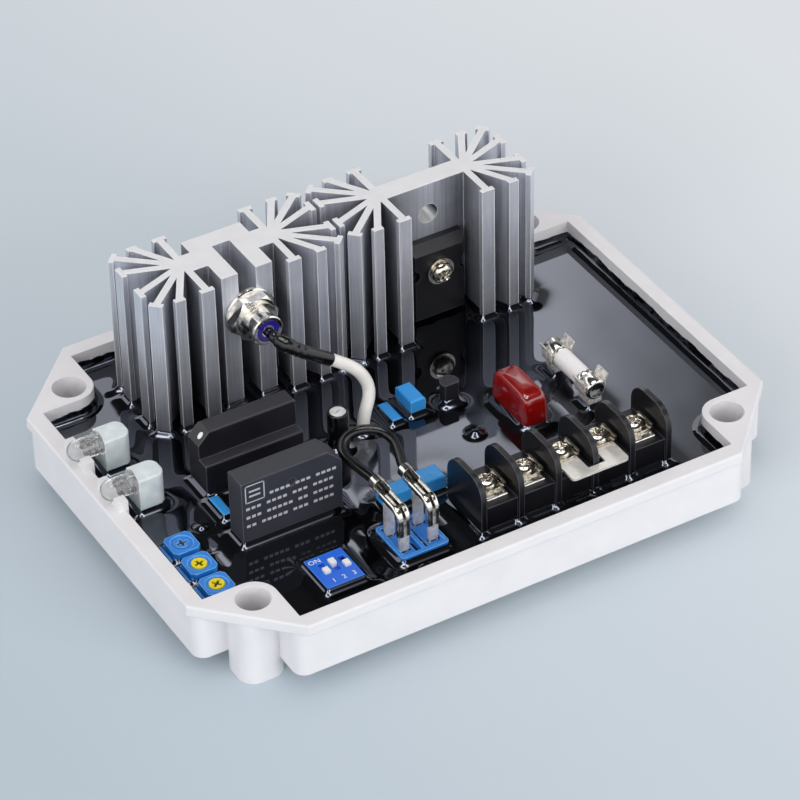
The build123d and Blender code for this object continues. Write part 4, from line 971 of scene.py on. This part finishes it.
def make_camera():
    """Camera from its turn, height, tilt and distance to the tray's corner."""
    turn, height, tilt = (radians(v) for v in (CAMERA_TURN, CAMERA_HEIGHT, CAMERA_TILT))
    ahead = -np.array((sin(turn) * cos(height), -cos(turn) * cos(height), sin(height)))
    level = np.cross(ahead, (0.0, 0.0, 1.0))
    level /= np.linalg.norm(level)
    upright = np.cross(level, ahead)
    side = cos(tilt) * level + sin(tilt) * upright
    upward = -sin(tilt) * level + cos(tilt) * upright
    spot = TRAY_CORNER + CAMERA_ASIDE * side + CAMERA_ABOVE * upward - CAMERA_DISTANCE * ahead
    data = bpy.data.cameras.new("studio_camera")
    data.sensor_width = 36.0
    data.lens = CAMERA_LENS
    data.clip_start = 0.05
    data.clip_end = 50.0
    camera = bpy.data.objects.new("studio_camera", data)
    rows = [list(row) + [spot[i] * MM] for i, row in enumerate(np.stack([side, upward, -ahead], 1))]
    camera.matrix_world = Matrix(rows + [[0.0, 0.0, 0.0, 1.0]])
    bpy.context.scene.collection.objects.link(camera)
    bpy.context.scene.camera = camera


def make_floor():
    """Pale studio floor with painted light: lighter towards the right of the view, matt to the light.
    """
    half = 6.0
    corners = [(-half, -half, 0), (half, -half, 0), (half, half, 0), (-half, half, 0)]
    mesh = bpy.data.meshes.new("studio_floor")
    mesh.from_pydata(corners, [], [(0, 1, 2, 3)])
    material, tree, shader = finish_of("pale_studio_floor", "#C6CFD6", 0.9, Specular_IOR_Level=0.0)
    # Painted light: the floor's colour grows lighter along this way
    rightwards = {"operation": "DOT_PRODUCT", 0: place_in(tree), 1: (0.967, 0.255, 0.0)}
    distance = add(tree, "VectorMath", rightwards, "Value")
    share = add(tree, "MapRange", {"Value": distance, "From Min": -122.0, "From Max": 192.0})
    settings = {"data_type": "RGBA", "Factor": share, 6: linear("#BDCBD5"), 7: linear("#E8EEF2")}
    tree.links.new(add(tree, "Mix", settings, 2), shader.inputs["Base Color"])
    mesh.materials.append(material)
    floor = bpy.data.objects.new("studio_floor", mesh)
    bpy.context.scene.collection.objects.link(floor)


def make_world():
    """Soft studio surround: an even glow for the light. Mirrors see a bright backdrop that
    ends at a dark band, a dark flag to its right, and a ring of light overhead."""
    world = bpy.data.worlds.new("studio")
    world.use_nodes = True
    bpy.context.scene.world = world
    tree = world.node_tree
    even = tree.nodes["Background"]
    even.inputs["Color"].default_value = linear("#F6F4F5")
    even.inputs["Strength"].default_value = 0.77
    ways = add(tree, "TexCoord", {}, "Generated")
    upward = add(tree, "SeparateXYZ", {0: ways}, "Z")
    turn = radians(-CAMERA_TURN)
    level = {"operation": "DOT_PRODUCT", 0: ways}
    aside = add(tree, "VectorMath", level | {1: (cos(turn), -sin(turn), 0.0)}, "Value")
    away = add(tree, "VectorMath", level | {1: (sin(turn), cos(turn), 0.0)}, "Value")
    bearing = add(tree, "Math", {"operation": "ARCTAN2", 0: aside, 1: away})
    around = add(tree, "MapRange", {"Value": bearing, "From Min": -pi, "From Max": pi})
    # Grey by how far the way looked at rises, and by its bearing, where 0.5 is straight ahead
    height_stops = [
        (0.0, 0.55), (0.35, 0.7), (0.58, 0.9), (0.626, 1.0), (0.631, 0.03), (0.70, 0.02),
        (0.90, 0.04), (0.945, 0.6), (0.955, 1.0), (0.975, 1.0), (0.985, 0.10), (1.0, 0.08),
    ]
    bearing_stops = [
        (0.0, 0.9), (0.40, 0.7), (0.488, 0.65), (0.502, 1.0), (0.508, 0.93), (0.510, 0.72),
        (0.5121, 0.5), (0.5146, 0.28), (0.518, 0.14), (0.58, 0.12), (0.66, 0.8), (1.0, 0.9),
    ]
    glow = {"data_type": "RGBA", "blend_type": "MULTIPLY", "Factor": 1.0}
    for side, value, stops in ((6, upward, height_stops), (7, around, bearing_stops)):
        glow[side] = add(tree, "ValToRGB", {"Fac": value})
        elements = glow[side].node.color_ramp.elements
        while len(elements) < len(stops):
            elements.new(0.5)
        for element, (place, grey) in zip(elements, stops):
            element.position = place
            element.color = (grey, grey, grey, 1.0)
    panel = add(tree, "MapRange", {"Value": upward, "From Min": 0.93, "From Max": 0.955, "To Max": 9.0})
    strength = add(tree, "Math", {"operation": "ADD", 0: panel, 1: 2.75})
    mirrored = add(tree, "Background", {"Color": add(tree, "Mix", glow, 2), "Strength": strength})
    glossy = add(tree, "LightPath", {}, "Is Glossy Ray")
    through = glossy.node.outputs["Is Transmission Ray"]
    seen = add(tree, "Math", {"operation": "MAXIMUM", 0: glossy, 1: through})
    mixed = add(tree, "MixShader", {0: seen, 1: even.outputs[0], 2: mirrored})
    tree.links.new(mixed, tree.nodes["World Output"].inputs["Surface"])


def make_lamp_light(name, place, size, power):
    """Square soft box at a place in metres, turned to the middle of the tray."""
    data = bpy.data.lights.new(name, "AREA")
    data.shape = "SQUARE"
    data.size = size
    data.energy = power
    light = bpy.data.objects.new(name, data)
    light.location = place
    light.rotation_euler = Vector(place).to_track_quat("Z", "Y").to_euler()
    light.visible_camera = False
    light.visible_glossy = False
    bpy.context.scene.collection.objects.link(light)


make_camera()
make_floor()
make_world()
make_lamp_light("overhead_box", (0.2, 0.5, 1.5), size=1.0, power=0.5)
make_lamp_light("front_box", (0.5, -1.3, 0.5), size=0.9, power=7.4)
make_lamp_light("left_box", (-1.2, -0.7, 0.6), size=0.9, power=7.0)
bpy.context.scene.view_settings.view_transform = "Standard"
